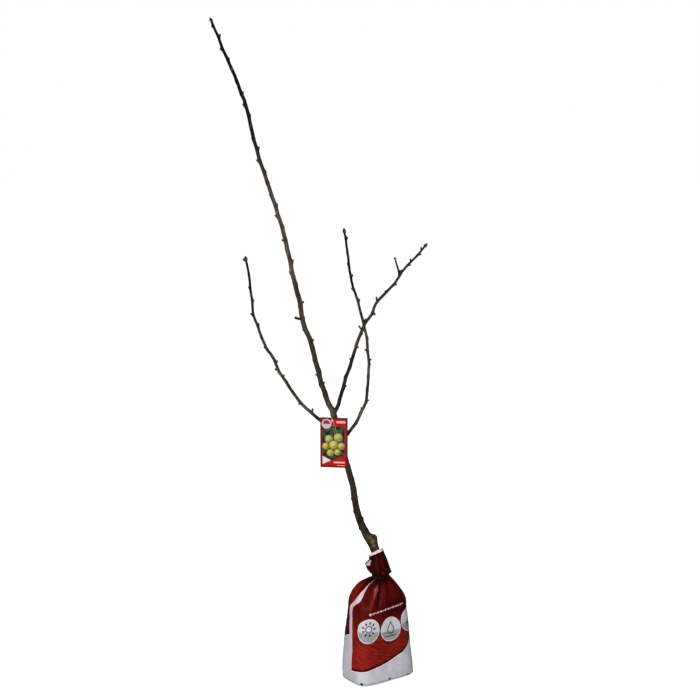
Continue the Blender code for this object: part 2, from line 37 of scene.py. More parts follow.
# Limbs: routes and (distance, diameter) pairs
TRUNK_ROUTE = [
    (5, 0, 215), (5, 0, 262), (0, 1, 303), (-7.5, 3, 337), (-17, 5, 358), (-31, 6, 381),
    (-44, 5, 407), (-53, 2, 434), (-61, -1, 473), (-66, -3, 510), (-78, -4, 556), (-98, -4, 630),
]
LEADER_ROUTE = [
    (-116.4, -4, 705.6), (-129.5, -3, 731.5), (-149, 0, 790.5), (-172.5, 8, 882), (-194.5, 10, 943),
    (-200, 12, 986.5), (-213, 14, 1034.5), (-239, 20, 1155), (-266, 22, 1245), (-306, 20, 1369),
    (-332, 15, 1482), (-342.6, 15.8, 1504.6), (-353.6, 17, 1540), (-379.5, 22, 1598), (-418, 34, 1691),
]
STEM_WIDTHS = [
    (0, 40), (25, 30), (52, 24), (125, 22.5), (165, 21), (195, 18), (250, 16), (350, 14.5),
    (500, 13.2), (540, 12), (850, 10.6), (1060, 8.4), (1330, 7.4), (1500, 5.6), (1545, 4.6),
]
FORK_Z = 705.6 * MM
LEADER_LENGTH = 335 * MM
STUB_ROUTE = [(-11, 3.5, 346), (-12.5, 2, 360), (-12, 1, 372), (-11, 0.5, 379)]
STUB_WIDTHS = [(0, 15), (15, 20), (27, 17), (33, 9)]
LEFT_ROUTE = [
    (-109.8, -1, 665.7), (-149, 3, 686.2), (-180.2, 0, 711.5), (-208.5, -6, 744.7), (-249, -18, 809.5),
    (-270.6, -27, 857.4), (-280.8, -30, 873), (-294, -35.6, 902.6), (-305, -42, 936), (-314, -48, 967),
    (-320, -55, 1028), (-323.4, -59, 1065.8), (-331.5, -64, 1112),
]
LEFT_WIDTHS = [(0, 8.4), (50, 7.4), (235, 6.4), (340, 5.2), (510, 4.4), (526, 3.8)]
LEFT_SPLIT = 345 * MM
CENTRE_ROUTE = [
    (-117, -4.5, 700), (-103, -11, 730.5), (-90.5, -24, 780), (-71, -40, 844), (-52, -52, 907),
    (-39.5, -58, 938), (-21, -65, 968), (-8.5, -70, 998), (21, -79, 1031), (44.5, -87, 1061.5),
    (64, -94, 1091.5), (89, -100, 1117), (112.5, -106, 1147.5),
]
CENTRE_WIDTHS = [(0, 9.4), (50, 9), (205, 7.2), (360, 5.8), (505, 4.4), (522, 3.8)]
CENTRE_SPLIT = 266 * MM
RIGHT_ROUTE = [
    (-97, -2, 627), (-78, 8, 651), (-58.5, 26, 674.5), (-43, 42, 701), (-31.5, 56, 731.5),
    (-26, 74, 792.5), (-26, 84, 833), (-31, 94, 884), (-41, 102, 930), (-58, 109, 992),
    (-72, 113, 1038.5), (-79.5, 117, 1098), (-89.5, 120, 1164),
]
RIGHT_WIDTHS = [(0, 8.8), (70, 7.6), (175, 6.6), (350, 5.8), (565, 4.8), (583, 4)]
RIGHT_BEND = 140 * MM
RIGHT_SPLIT = 348 * MM
SIDE_TWIG_ROUTE = [(44, -87, 1061.5), (46, -86, 1068), (44.5, -84, 1080), (40, -81, 1095), (36, -78, 1109)]
SIDE_TWIG_WIDTHS = [(0, 4.4), (8, 3.8), (45, 3), (50, 2)]
SIDE_SPUR_ROUTE = [(45, -84, 1079), (49, -84, 1079), (55, -83.5, 1080)]
SIDE_SPUR_WIDTHS = [(0, 2.2), (8, 2), (10, 1.4)]

# Only in the looks: the graft knob's shoulder, patches of pale bark on the knob and painted highlights at the
# fork, as (middle, reach, strength), and scars of lost buds as (height, turn, rise)
KNOB_ROUTE = [(-11, -1, 345), (-15, -1, 362), (-18, -2, 376.5)]
KNOB_WIDTHS = [(0, 16), (17, 18), (32, 19.5)]
PALE_PATCHES_AND_HIGHLIGHTS = [
    # The first four patches are pale bark on the graft knob; the last three, on the front of the fork and
    # leader, are painted highlights
    ((-15, -10, 367), (6, 8, 6), 0.9), ((-12, -10, 356), (6, 8, 4.5), 0.75), ((-4, -12, 346), (5, 9, 6), 0.4),
    ((-26, -7, 377), (5, 9, 6), 0.5), ((-123, -12, 713), (6, 8, 10), 0.6),
    ((-129, -11, 730), (3, 8, 15), 0.45), ((-119, -11, 703), (4, 8, 5), 0.4),
]
TRUNK_SCARS = [
    (479, 275, 1.8), (481, 80, 1.1), (445, 270, 1.8), (422, 88, 2.6), (400, 265, 2.2), (391, 90, 1.4),
    (530, 85, 0.8), (566, 268, 0.9), (602, 20, 0.7), (505, 10, 0.8), (460, 180, 1.0), (552, 170, 0.9),
]
CROTCH_STUB = [(-115, -6, 706), (-115.4, -8, 723)]
CROTCH_STUB_RADIUS = 3.1 * MM
SCAR_CENTRE = (-13.6, -10.8, 379.2)
SCAR_FACING = (0.38, -0.86, 0.34)
SCAR_HALF_WIDTH, SCAR_HALF_HEIGHT = 9.5 * MM, 6.8 * MM

# How old the wood looks, as (distance, age) from 1 on the trunk to 0 at the tips
STEM_AGES = [
    (0, 1), (400, 1), (520, 0.9), (700, 0.8), (850, 0.6), (950, 0.45), (1070, 0.35), (1150, 0.2),
    (1350, 0.08), (1540, 0),
]
BOUGH_AGES = [(0, 0.8), (60, 0.62), (130, 0.45), (300, 0.3), (400, 0.15), (560, 0)]
CENTRE_AGES = [(0, 0.85), (70, 0.8), (130, 0.65), (190, 0.45), (300, 0.3), (400, 0.15), (560, 0)]

# Where the bark is paler or darker than its age gives, as (distance, tone) from -1 dark to 1 tan
TONES = {
    "stem": [
        (0, 0), (180, 0), (210, -0.3), (245, -0.25), (265, -0.05), (290, 0.06), (350, 0.06), (500, 0.12),
        (545, 0.02), (590, 0.08), (690, 0.1), (730, 0.2), (780, 0.08), (830, 0.04), (858, 0.1), (868, 0.4),
        (898, 0.36), (908, 0.04), (930, 0.1), (950, 0.2), (1100, 0.2), (1150, 0.16), (1210, 0.05), (1250, 0),
        (1330, -0.05), (1355, -0.55), (1440, -0.7), (1465, -0.3), (1500, -0.45), (1545, -0.45),
    ],
    "left": [
        (0, -0.05), (95, 0), (115, 0.06), (190, 0.06), (215, -0.05), (260, -0.15), (300, -0.4), (340, -0.3),
        (360, 0.05), (395, 0), (450, -0.5), (500, -0.35),
    ],
    "centre": [
        (0, 0.05), (35, 0), (55, -0.5), (95, -0.45), (110, -0.3), (190, -0.3), (210, -0.25), (290, -0.15),
        (310, -0.3), (345, -0.2), (360, 0), (400, 0.1), (500, 0.15), (520, 0),
    ],
    "right": [
        (0, 0), (45, 0.05), (60, 0.14), (180, 0.1), (210, 0.02), (250, 0.12), (290, 0.1), (310, 0),
        (350, 0.1), (430, 0.1), (450, -0.4), (520, -0.35), (550, 0),
    ],
}

# How far each limb's bark stands out from the source's solid limbs, in millimetres
BARK_GAINS = {"stem": 0.8, "left": 0.75, "centre": 0.55, "right": 0.65, "twig": 0.6}
PLAIN_GAIN = 0.35

# Nodes climb each limb in a two-fifths spiral, and the limb kinks a little towards each node's bud. For each
# limb: the first node's distance, the spacing, and the first node's turn in degrees
NODE_RULE = {"stem": (508, 29, 216), "left": (13, 33.5, 144), "centre": (20, 31, 180), "right": (31, 33, 348)}
NODE_TURN = math.radians(144)
NODE_JITTER = 2.5 * MM
NODE_CLEARANCE = 7 * MM
NODE_SWELL, NODE_CUSHION = 0.12, 0.3
NODE_FADE = 0.85
KINK = 1.1 * MM
BUD_LENGTH, BUD_WIDEST = 8 * MM, 2.05 * MM
BUD_SHORTEST, BUD_LONGEST = 0.8, 1.15
BUD_LEAN = math.radians(43)
TIP_BUD_LENGTH = 9 * MM
TIP_BUD_EXTRA = 2.5 * MM
OLD_BUD_RADIUS, OLD_BUD_LENGTH = 1.5 * MM, 4.6 * MM
SPUR_BUD_LENGTH = 5.6 * MM

# Film bag, as in the source
BAG_YAW = math.radians(35)
BAG_WALL = 0.8 * MM
BAG_PLEATS = 8
BASE_EDGE = 6 * MM
SHOULDER_Z = 195 * MM
NECK_Z = 267 * MM
NECK_RADIUS = 18 * MM
NECK_PLEAT = 2.2 * MM
NECK_CENTRE = np.array((5.5, 0, 0)) * MM
BASE_HALF_WIDTH, BASE_HALF_DEPTH = 91 * MM, 57 * MM
SHOULDER_HALF_WIDTH, SHOULDER_HALF_DEPTH = 76.5 * MM, 47 * MM
BELLY = 3 * MM
BODY_SQUARENESS, NECK_SQUARENESS = 4.4, 2.0
SHOULDER_ROUND, SHOULDER_POWER = 1.6, 0.5
BODY_OFFSET = np.array((-4.5, 0, 0)) * MM
BODY_OFFSET_Z = 60 * MM
GATHER_POWER = 12
TIE_Z = 275 * MM
COLLAR_HEIGHT = 60 * MM
FLARE_START, FLARE_END = 0.06, 0.24
COLLAR_RADIUS = 26 * MM
RIM_RADIUS = 18.6 * MM
RIM_PLEAT = 0.6 * MM
FLAP_REACH = 13.5 * MM
FLAP_SHARE, FLAP_TOP = 0.57, 0.76
FLAP_DIRECTION = math.radians(192)
FLAP_SHARPNESS = 2.4
FLAP_BULGE = 0.5
FLAP_PATCH_TURN, FLAP_PATCH_HALF_TURN = math.radians(209), math.radians(15.5)
FLAP_PATCH_SHARE, FLAP_PATCH_HALF_SHARE = 0.63, 0.1
RIM_TILT, RIM_SLANT, RIM_LIFT = 5 * MM, 4 * MM, 1.4 * MM
LEAN_RATE = 1.35
TIE_BULGE, TIE_BULGE_REACH = 2.6 * MM, 8 * MM
TIE_GROOVE, TIE_GROOVE_REACH = 2.4 * MM, 2.4 * MM
PUCKER, CREASED_Z, CREASED_REACH = 0.7 * MM, 281 * MM, 19 * MM
TIE_RING_RADIUS, TIE_RING_LIFT, TIE_RING_WIRE = 22.1 * MM, 0.75, 0.78 * MM
TIE_TWIST_ROUTE = [(24.5, -3, 276.5), (28, -3.2, 280), (31.2, -4, 282.8), (33.8, -4, 286)]
TIE_TWIST_RADIUS, TIE_TWIST_TURNS, TIE_TWIST_WIRE = 1.0 * MM, 2.6, 1.5 * MM

# Plant label on its thread, as in the source
LABEL_WIDTH, LABEL_HEIGHT, LABEL_THICKNESS = 71 * MM, 131 * MM, 0.8 * MM
LABEL_CORNER = 1.5 * MM
LABEL_YAW = math.radians(8)
LABEL_CENTRE = Vector((-114.8, -14.6, 630.5)) * MM
HOLE_RADIUS = 2.5 * MM
HOLE_OFFSET = Vector((-4, 57)) * MM
THREAD_ROUTE = [
    (-118.8, -14, 688.6), (-119.4, -16.8, 691.5), (-121.9, -16, 698), (-125.9, -10.5, 701.5),
    (-125.2, -1.2, 703.5), (-117.2, 4.9, 703.5), (-107.8, 1.9, 700.5), (-105, -6.2, 696.5),
    (-108.8, -11.8, 692), (-114.5, -12.6, 689.8), (-118.8, -14, 688.6),
]
THREAD_TAILS = [
    [(-118.4, -15.5, 689.5), (-116.6, -18.2, 684), (-114.5, -18.9, 674), (-114.9, -19.1, 664),
     (-111.8, -19.6, 654)],
    [(-118.4, -15.8, 690), (-114.2, -18.8, 683), (-110.5, -19.9, 668), (-107.2, -21, 652),
     (-109.2, -21.4, 640), (-112.8, -20.4, 634), (-111.6, -20.2, 628)],
]
THREAD_KNOT = [
    (-120.4, -15.6, 691.2), (-118.2, -17.6, 692.2), (-116.6, -16.4, 690.6), (-117.8, -14.6, 689),
    (-120, -15.4, 689.4), (-120.2, -17.2, 691),
]
THREAD_TWIST_RADIUS, THREAD_TWIST_TURNS = 0.28 * MM, 46
STRAND_RADIUS, TAIL_RADIUS, KNOT_RADIUS = 0.34 * MM, 0.32 * MM, 0.6 * MM


def unit(vectors):
    return vectors / np.linalg.norm(vectors, axis=-1, keepdims=True)


def smooth_step(share):
    share = np.clip(share, 0.0, 1.0)
    return share * share * (3 - 2 * share)


def ramp(number, start, end):
    """Smoothly from 0 at start to 1 at end."""
    return smooth_step((number - start) / (end - start))


def bell(away, width):
    """1 in the middle, falling off smoothly over the width."""
    return np.exp(-(away / width) ** 2)


def turn_between(turns, other):
    """The turn from one angle to another, within half a turn either way."""
    return (turns - other + math.pi) % (2 * math.pi) - math.pi


def ring_turns(columns):
    return 2 * math.pi * np.arange(columns) / columns


def ring_of(across, over, turns):
    """Directions round an axis, from two that are square to it."""
    return across[..., None, :] * np.cos(turns)[..., None] + over[..., None, :] * np.sin(turns)[..., None]


NOISE_ROWS = 2048


def band_noise(around, along, cells, seed):
    """Smooth noise from -1 to 1 on a band: around runs from 0 to 1 and closes, along counts cells."""
    table = np.random.default_rng(seed).uniform(-1, 1, (NOISE_ROWS, cells))
    across = np.asarray(around) * cells
    along = np.asarray(along)
    column, row = np.floor(across).astype(int), np.floor(along).astype(int)
    right, up = smooth_step(across - column), smooth_step(along - row)

    def corner(step_right, step_up):
        return table[(row + step_up) % NOISE_ROWS, (column + step_right) % cells]

    lower = corner(0, 0) * (1 - right) + corner(1, 0) * right
    upper = corner(0, 1) * (1 - right) + corner(1, 1) * right
    return lower * (1 - up) + upper * up


# Each piece's skin is also laid out flat, tube by tube, on a map laid out for baking its colours
MAP_NAME = "OFBake"
MAP_MARGIN, MAP_TOP = 0.02, 0.96
MAP_LONGEST_ROW = 5
CAP_SPOTS, CAP_RADIUS = ((0.48, 0.98), (0.52, 0.98)), 0.01
HIDDEN_STRETCH = 0.3


class Skin:
    """Tubes of points gathered into one mesh, with a few values kept at every point."""

    def __init__(self, **kinds):
        self.kinds = kinds
        self.points, self.faces = [], []
        self.values = {name: [] for name in kinds}
        self.tiles, self.spots = [], []
        self.count = 0

    def lay_out(self, grid, strips, hidden_from):
        """Places on the map for a tube's faces: so many strips of the tube, each on a tile of its own."""
        columns = grid.shape[1]
        steps = np.linalg.norm(np.diff(grid, axis=0), axis=-1).mean(axis=1)
        steps[hidden_from:] *= HIDDEN_STRETCH
        rise = np.concatenate([[0.0], np.cumsum(steps)]) / steps.sum() * strips
        strip = np.minimum(rise[:-1].astype(int), strips - 1)
        low, high = rise[:-1] - strip, rise[1:] - strip
        across = MAP_MARGIN + (1 - 2 * MAP_MARGIN) * np.arange(columns + 1) / columns
        low, high = (MAP_MARGIN + (MAP_TOP - MAP_MARGIN) * height / high.max() for height in (low, high))
        corners = [(across[:-1], low), (across[1:], low), (across[1:], high), (across[:-1], high)]
        quads = [np.stack(np.broadcast_arrays(u[None, :], v[:, None]), axis=-1) for u, v in corners]
        turns = ring_turns(columns)
        cap = CAP_RADIUS * np.stack([np.cos(turns), np.sin(turns)], axis=-1)
        first = sum(self.tiles)
        self.tiles.append(strips)
        self.spots.append((first + np.repeat(strip, 4 * columns), np.stack(quads, axis=2).reshape(-1, 2)))
        for tile, spot in zip((first, first + strips - 1), CAP_SPOTS):
            self.spots.append((np.full(columns, tile), cap + spot))

    def map_places(self):
        """The places of all face corners on the whole map, with the tiles in rows."""
        total = sum(self.tiles)
        across = total if total <= MAP_LONGEST_ROW else math.ceil(math.sqrt(total))
        up = math.ceil(total / across)
        tile = np.concatenate([number for number, _ in self.spots])
        spots = np.concatenate([spot for _, spot in self.spots])
        return (spots + np.stack([tile % across, tile // across], axis=-1)) / (across, up)

    def add(self, grid, strips=1, hidden_from=None, **values):
        """Rings of a closed tube, first to last. Seen from outside they turn anticlockwise."""
        rows, columns = grid.shape[:2]
        self.lay_out(grid, strips, rows if hidden_from is None else hidden_from)
        number = self.count + np.arange(rows * columns).reshape(rows, columns)
        self.count += rows * columns
        self.points.append(grid.reshape(-1, 3))
        after = np.roll(number, -1, axis=1)
        quads = np.stack([number[:-1], after[:-1], after[1:], number[1:]], axis=-1)
        self.faces += quads.reshape(-1, 4).tolist()
        self.faces += [number[0][::-1].tolist(), number[-1].tolist()]
        for name, size in self.kinds.items():
            shape = (rows, columns, 3) if size == 3 else (rows, columns)
            self.values[name].append(np.broadcast_to(values.get(name, 0.0), shape).reshape(-1))

    def build(self, name, look, slot, replaced=(), sharp=50):
        """The mesh as a visible piece. Edges sharper than so many degrees stay sharp."""
        mesh = bpy.data.meshes.new(name)
        mesh.from_pydata(np.concatenate(self.points).tolist(), [], self.faces)
        for key, size in self.kinds.items():
            layer = mesh.attributes.new(key, "FLOAT_VECTOR" if size == 3 else "FLOAT", "POINT")
            numbers = np.concatenate(self.values[key]).astype(np.float32)
            layer.data.foreach_set("vector" if size == 3 else "value", numbers)
        layer = mesh.uv_layers.new(name=MAP_NAME, do_init=False)
        layer.uv.foreach_set("vector", self.map_places().astype(np.float32).ravel())
        mesh.materials.append(look)
        mesh.shade_smooth()
        mesh.set_sharp_from_angle(angle=math.radians(sharp))
        return dress(name, mesh, replaced)


def dress(name, mesh, replaced=()):
    """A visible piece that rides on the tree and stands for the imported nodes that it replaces."""
    piece = bpy.data.objects.new(name, mesh)
    bpy.context.scene.collection.objects.link(piece)
    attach(piece, "root")
    if replaced:
        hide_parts(*replaced)
    return piece


class Field:
    """A number in a shader that can be reckoned with like a plain number."""

    def __init__(self, tree, socket):
        self.tree = tree
        self.socket = socket

    def reckon(self, operation, *others, clamp=False):
        node = self.tree.nodes.new("ShaderNodeMath")
        node.operation = operation
        node.use_clamp = clamp
        for slot, value in zip(node.inputs, (self, *others)):
            if isinstance(value, Field):
                self.tree.links.new(value.socket, slot)
            else:
                slot.default_value = value
        return Field(self.tree, node.outputs[0])

    def __add__(self, other):
        return self.reckon("ADD", other)

    def __sub__(self, other):
        return self.reckon("SUBTRACT", other)

    def __mul__(self, other):
        return self.reckon("MULTIPLY", other)

    def __neg__(self):
        return self.reckon("MULTIPLY", -1.0)

    def size(self):
        return self.reckon("ABSOLUTE")

    def least(self, other):
        return self.reckon("MINIMUM", other)

    def most(self, other):
        return self.reckon("MAXIMUM", other)

    def length(self, other):
        """Distance from the origin of a point with these two coordinates."""
        return (self * self + other * other).reckon("SQRT")

    def from_to(self, start, end):
        """0 at start, 1 at end and beyond."""
        return ((self - start) * (1.0 / (end - start))).reckon("ADD", 0.0, clamp=True)

    def below(self, limit, soft=0.2 * MM):
        """1 where the number is under the limit, with a soft edge."""
        return self.from_to(limit + soft / 2, limit - soft / 2)


class Look:
    """A material while it is made."""

    def __init__(self, name, roughness, specular):
        self.material = bpy.data.materials.new(name)
        self.material.use_nodes = True
        self.tree = self.material.node_tree
        self.shader = self.tree.nodes["Principled BSDF"]
        self.shader.inputs["Roughness"].default_value = roughness
        self.shader.inputs["Specular IOR Level"].default_value = specular

    def stored(self, name):
        node = self.tree.nodes.new("ShaderNodeAttribute")
        node.attribute_name = name
        return node

    def value(self, name):
        return Field(self.tree, self.stored(name).outputs["Fac"])

    def place(self, name):
        return self.stored(name).outputs["Vector"]

    def parts(self, place):
        """The three numbers of a place."""
        node = self.tree.nodes.new("ShaderNodeSeparateXYZ")
        self.tree.links.new(place, node.inputs[0])
        return [Field(self.tree, output) for output in node.outputs]

    def noise(self, place, scale, detail=3.0, roughness=0.55, distortion=0.0):
        node = self.tree.nodes.new("ShaderNodeTexNoise")
        self.tree.links.new(place, node.inputs["Vector"])
        node.inputs["Scale"].default_value = scale
        node.inputs["Detail"].default_value = detail
        node.inputs["Roughness"].default_value = roughness
        node.inputs["Distortion"].default_value = distortion
        return Field(self.tree, node.outputs["Fac"])

    def mix(self, share, first, second):
        """The first colour where share is 0, the second where it is 1."""
        node = self.tree.nodes.new("ShaderNodeMix")
        node.data_type = "RGBA"
        for slot, value in ((node.inputs[0], share), (node.inputs[6], first), (node.inputs[7], second)):
            if isinstance(value, Field):
                self.tree.links.new(value.socket, slot)
            elif isinstance(value, bpy.types.NodeSocket):
                self.tree.links.new(value, slot)
            else:
                slot.default_value = (*value, 1.0) if isinstance(value, tuple) else value
        return node.outputs[2]

    def finish(self, colour, roughness=None, bump=None, depth=0.1 * MM):
        self.tree.links.new(colour, self.shader.inputs["Base Color"])
        if roughness is not None:
            self.tree.links.new(roughness.socket, self.shader.inputs["Roughness"])
        if bump is not None:
            node = self.tree.nodes.new("ShaderNodeBump")
            node.inputs["Distance"].default_value = depth
            self.tree.links.new(bump.socket, node.inputs["Height"])
            self.tree.links.new(node.outputs[0], self.shader.inputs["Normal"])
        return self.material


# Bark colours, oldest to youngest wood: darkest (painted shade in crevices, and dark marks), ground, streaks
# and pores
OLD_BARK = ((0.003, 0.002, 0.001), (0.014, 0.0105, 0.0055), (0.078, 0.062, 0.037), (0.17, 0.13, 0.08))
YOUNG_BARK = ((0.002, 0.0018, 0.0012), (0.005, 0.0042, 0.003), (0.02, 0.017, 0.012), (0.06, 0.05, 0.036))
BLOOM = (0.17, 0.145, 0.112)
TAN_BARK = (0.2, 0.155, 0.105)


def bark_look(name, roughness, specular):
    """Bark with lengthwise streaks, painted shade in its crevices and hollows, pale pores, olive brown when
    old, black when young.
    """
    look = Look(name, roughness, specular)
    grain, age = look.place("grain"), look.value("age")
    dark, middle, pale, spot = (look.mix(age, young, old) for young, old in zip(YOUNG_BARK, OLD_BARK))
    streak = look.noise(grain, 620.0, detail=4.0).from_to(0.4, 0.66)
    broad = look.noise(grain, 210.0, detail=3.0).from_to(0.42, 0.68)
    patch = look.noise(grain, 90.0, detail=2.0).from_to(0.3, 0.65)
    fine = look.noise(grain, 2600.0, detail=2.0)
    colour = look.mix((streak * 0.55 + broad * 0.45) * (patch * 0.75 + 0.25), middle, pale)
    bloom = age.from_to(0.15, 0.32) * age.from_to(0.75, 0.5)
    colour = look.mix(bloom * broad * (patch * 0.5 + 0.35), colour, BLOOM)
    tone = look.value("tone")
    colour = look.mix(tone.from_to(0.0, 1.0) * (broad * 0.5 + 0.75), colour, TAN_BARK)
    colour = look.mix((-tone).from_to(0.0, 1.0), colour, dark)
    # Painted shade: darker where the stored relief value is low, in the cracks and hollows
    colour = look.mix((-look.value("relief")).from_to(0.1, 1.0) * 0.85, colour, dark)
    colour = look.mix(look.value("dark"), colour, dark)
    colour = look.mix(look.value("pale"), colour, spot)
    rough = look.noise(grain, 400.0).from_to(-1.2, 1.4)
    return look.finish(colour, rough * 0.5 + (roughness - 0.2), streak * 0.6 + fine * 0.4, 0.12 * MM)


def bud_look():
    """Brown bud scales with paler, slightly downy margins."""
    look = Look("bud_scale", 0.5, specular=0.4)
    grain = look.place("grain")
    patch = look.noise(grain, 900.0, detail=3.0).from_to(0.35, 0.7)
    colour = look.mix(patch, (0.008, 0.0045, 0.003), (0.024, 0.014, 0.008))
    colour = look.mix(look.value("dark"), colour, (0.003, 0.002, 0.0015))
    colour = look.mix(look.value("pale"), colour, (0.07, 0.055, 0.038))
    return look.finish(colour, None, look.noise(grain, 3000.0), 0.08 * MM)


class Limb:
    """A smooth route with its diameters, and the nodes that climb it in a spiral."""

    SAMPLES = 12
    TABLE_STEP = 1 * MM
    SMOOTHING = 9

    def __init__(self, name, points, widths, first_node=None, spacing=29 * MM, phase=0.0, ages=((0, 0.3),)):
        self.name = name
        self.gain = BARK_GAINS.get(name, PLAIN_GAIN) * MM
        self.widths = np.array(widths) * MM
        self.ages = np.array(ages, float)
        self.tones = np.array(TONES.get(name, [(0, 0)]), float)
        route = self.rounded(np.array(points) * MM)
        lengths = np.concatenate([[0.0], np.cumsum(np.linalg.norm(np.diff(route, axis=0), axis=1))])
        self.length = lengths[-1]
        self.places = np.arange(0.0, self.length + self.TABLE_STEP, self.TABLE_STEP).clip(max=self.length)
        table = np.stack([np.interp(self.places, lengths, route[:, axis]) for axis in range(3)], axis=1)
        self.table = self.evened(table)
        self.plain = self.table.copy()
        self.spacing = spacing
        self.nodes = []
        draw = random.Random(f"{SEED} {name}")
        place, turn = first_node, phase
        while place is not None and place < self.length - TIP_BUD_LENGTH - NODE_CLEARANCE:
            self.nodes.append((place + draw.uniform(-NODE_JITTER, NODE_JITTER), turn))
            place += spacing
            turn += NODE_TURN
        for distance, turn in self.nodes:
            share = np.clip((self.places - distance) / (0.5 * spacing), -1, 1)
            kink = KINK * np.cos(0.5 * math.pi * share) ** 2
            self.table += kink[:, None] * self.outward(distance, turn)

    def rounded(self, points):
        """The Catmull-Rom curve through the points."""
        around = np.concatenate([[2 * points[0] - points[1]], points, [2 * points[-1] - points[-2]]])
        curve = []
        for before, start, end, after in zip(around, around[1:], around[2:], around[3:]):
            for sample in range(self.SAMPLES):
                t = sample / self.SAMPLES
                bend = 2 * before - 5 * start + 4 * end - after
                turn = 3 * start - before - 3 * end + after
                curve.append(start + 0.5 * t * (end - before + t * (bend + t * turn)))
        curve.append(points[-1])
        return np.array(curve)

    def evened(self, table):
        """The table's points, each averaged with its near neighbours, with the ends kept."""
        reach = self.SMOOTHING // 2
        if len(table) <= reach + 1:
            return table
        head = 2 * table[0] - table[reach:0:-1]
        tail = 2 * table[-1] - table[-2:-reach - 2:-1]
        padded = np.concatenate([head, table, tail])
        kernel = np.ones(self.SMOOTHING) / self.SMOOTHING
        return np.stack([np.convolve(padded[:, axis], kernel, "valid") for axis in range(3)], axis=1)

    def distance_at(self, height):
        return float(self.places[np.argmax(self.plain[:, 2] >= height)])

    def at(self, places, table=None):
        table = self.table if table is None else table
        places = np.atleast_1d(places)
        return np.stack([np.interp(places, self.places, table[:, axis]) for axis in range(3)], axis=1)

    def radii(self, places):
        return self.gain + 0.5 * np.interp(np.atleast_1d(places), self.widths[:, 0], self.widths[:, 1])

    def age(self, places):
        return np.interp(places, self.ages[:, 0] * MM, self.ages[:, 1])

    def tone(self, places):
        return np.interp(places, self.tones[:, 0] * MM, self.tones[:, 1])

    def frames(self, places, table=None):
        """Centre, heading, front and side at each distance. Angles turn from the front to the side."""
        places = np.atleast_1d(places)
        reach = 2 * MM
        ahead = self.at(np.minimum(places + reach, self.length), table)
        behind = self.at(np.maximum(places - reach, 0.0), table)
        heading = unit(ahead - behind)
        front = np.array((0.0, -1.0, 0.0)) - heading * (-heading[:, 1:2])
        front = unit(front)
        return self.at(places, table), heading, front, np.cross(heading, front)

    def outward(self, distance, turn):
        """The direction square to the plain route that is turned by an angle from the front."""
        _, _, front, side = self.frames(distance, self.plain)
        return front[0] * math.cos(turn) + side[0] * math.sin(turn)

    def stance(self, distance, turn):
        """Centre, heading, outward direction and radius where a bud or spur stands."""
        centre, heading, front, side = (row[0] for row in self.frames(distance))
        out = front * math.cos(turn) + side * math.sin(turn)
        return centre, heading, out, float(self.radii(distance)[0])


# Where a bough leaves a limb, the limb's skin flows into it
JOIN_REACH = 24 * MM
JOIN_BLEND = 5 * MM
JOIN_STEPS = 28
JOIN_SAMPLE = 0.8 * MM
JOIN_INSET = 0.4 * MM
JOIN_END, JOIN_TAPER = 6 * MM, 1.6 * MM


class Join:
    """A stretch of a limb that the stem's skin grows into. A bough's is slimmer than the bough's own skin."""

    def __init__(self, limb, end=None):
        places = np.arange(0, end or limb.length, JOIN_SAMPLE)
        self.centres = limb.at(places)
        self.radii = limb.radii(places)
        if end:
            self.radii -= JOIN_INSET + JOIN_TAPER * ramp(places, end - JOIN_END, end)
        self.low, self.high = self.centres.min(axis=0), self.centres.max(axis=0)

    def near(self, centres, margin=22 * MM):
        return np.all((centres > self.low - margin) & (centres < self.high + margin), axis=1)

    def distance(self, points):
        away = np.linalg.norm(points[..., None, :] - self.centres, axis=-1) - self.radii
        return away.min(axis=-1)


def flow_into(joins, centres, directions, radii):
    """Radii of a limb's rings where its skin runs smoothly into what leaves it."""
    for join in joins:
        rows = np.flatnonzero(join.near(centres))
        if not len(rows):
            continue
        reach = radii[rows] + JOIN_REACH
        for _ in range(JOIN_STEPS):
            points = centres[rows, None] + directions[rows] * reach[..., None]
            own = reach - radii[rows]
            other = join.distance(points)
            share = np.clip(0.5 + 0.5 * (other - own) / JOIN_BLEND, 0, 1)
            reach = reach - (other * (1 - share) + own * share - JOIN_BLEND * share * (1 - share))
        radii[rows] = np.maximum(reach, radii[rows])
    return radii


# Bark's relief in millimetres, as (everywhere, added on old wood), and the cells of its noises: the cell's
# length, its width and the fewest round the limb
BARK_VALUES = {"grain": 3, "relief": 1, "pale": 1, "dark": 1, "age": 1, "tone": 1}
GRAIN_STRETCH = 0.13
CRACK_RELIEF, COARSE_RELIEF, LUMP_RELIEF, FINE_RELIEF = (0.05, 0.25), (0.04, 0.12), (0.1, 0.3), (0.035, 0)
CRACK_CELLS, COARSE_CELLS, FINE_CELLS = (15, 2.6, 5), (5, 3, 6), (2.2, 1.1, 8)
CRACK_WIDTH, CRACK_WANDER = 0.13, 0.02
PORES_PER_SQUARE, PORE_HEIGHT = 0.016, 0.13 * MM


def add_pores(places, around, radii, relief, pale, seed):
    """Small raised pores, longer than wide, scattered over the bark."""
    draw = random.Random(seed)
    area = 2 * math.pi * float(radii.mean()) * (places[-1] - places[0])
    step = places[1] - places[0]
    for _ in range(int(area * PORES_PER_SQUARE / MM ** 2)):
        place, turn = draw.uniform(places[0], places[-1]), draw.random()
        half_length, half_width = draw.uniform(0.5, 1.1) * MM, draw.uniform(0.3, 0.5) * MM
        low = max(0, int((place - places[0] - 3 * half_length) / step))
        high = min(len(places), int((place - places[0] + 3 * half_length) / step) + 2)
        rows = slice(low, high)
        across = (around - turn + 0.5) % 1.0 - 0.5
        across = across[None, :] * 2 * math.pi * radii[rows].mean()
        spot = bell(places[rows, None] - place, half_length) * bell(across, half_width)
        relief[rows] += PORE_HEIGHT * spot
        pale[rows] = np.maximum(pale[rows], draw.uniform(0.45, 0.95) * spot)


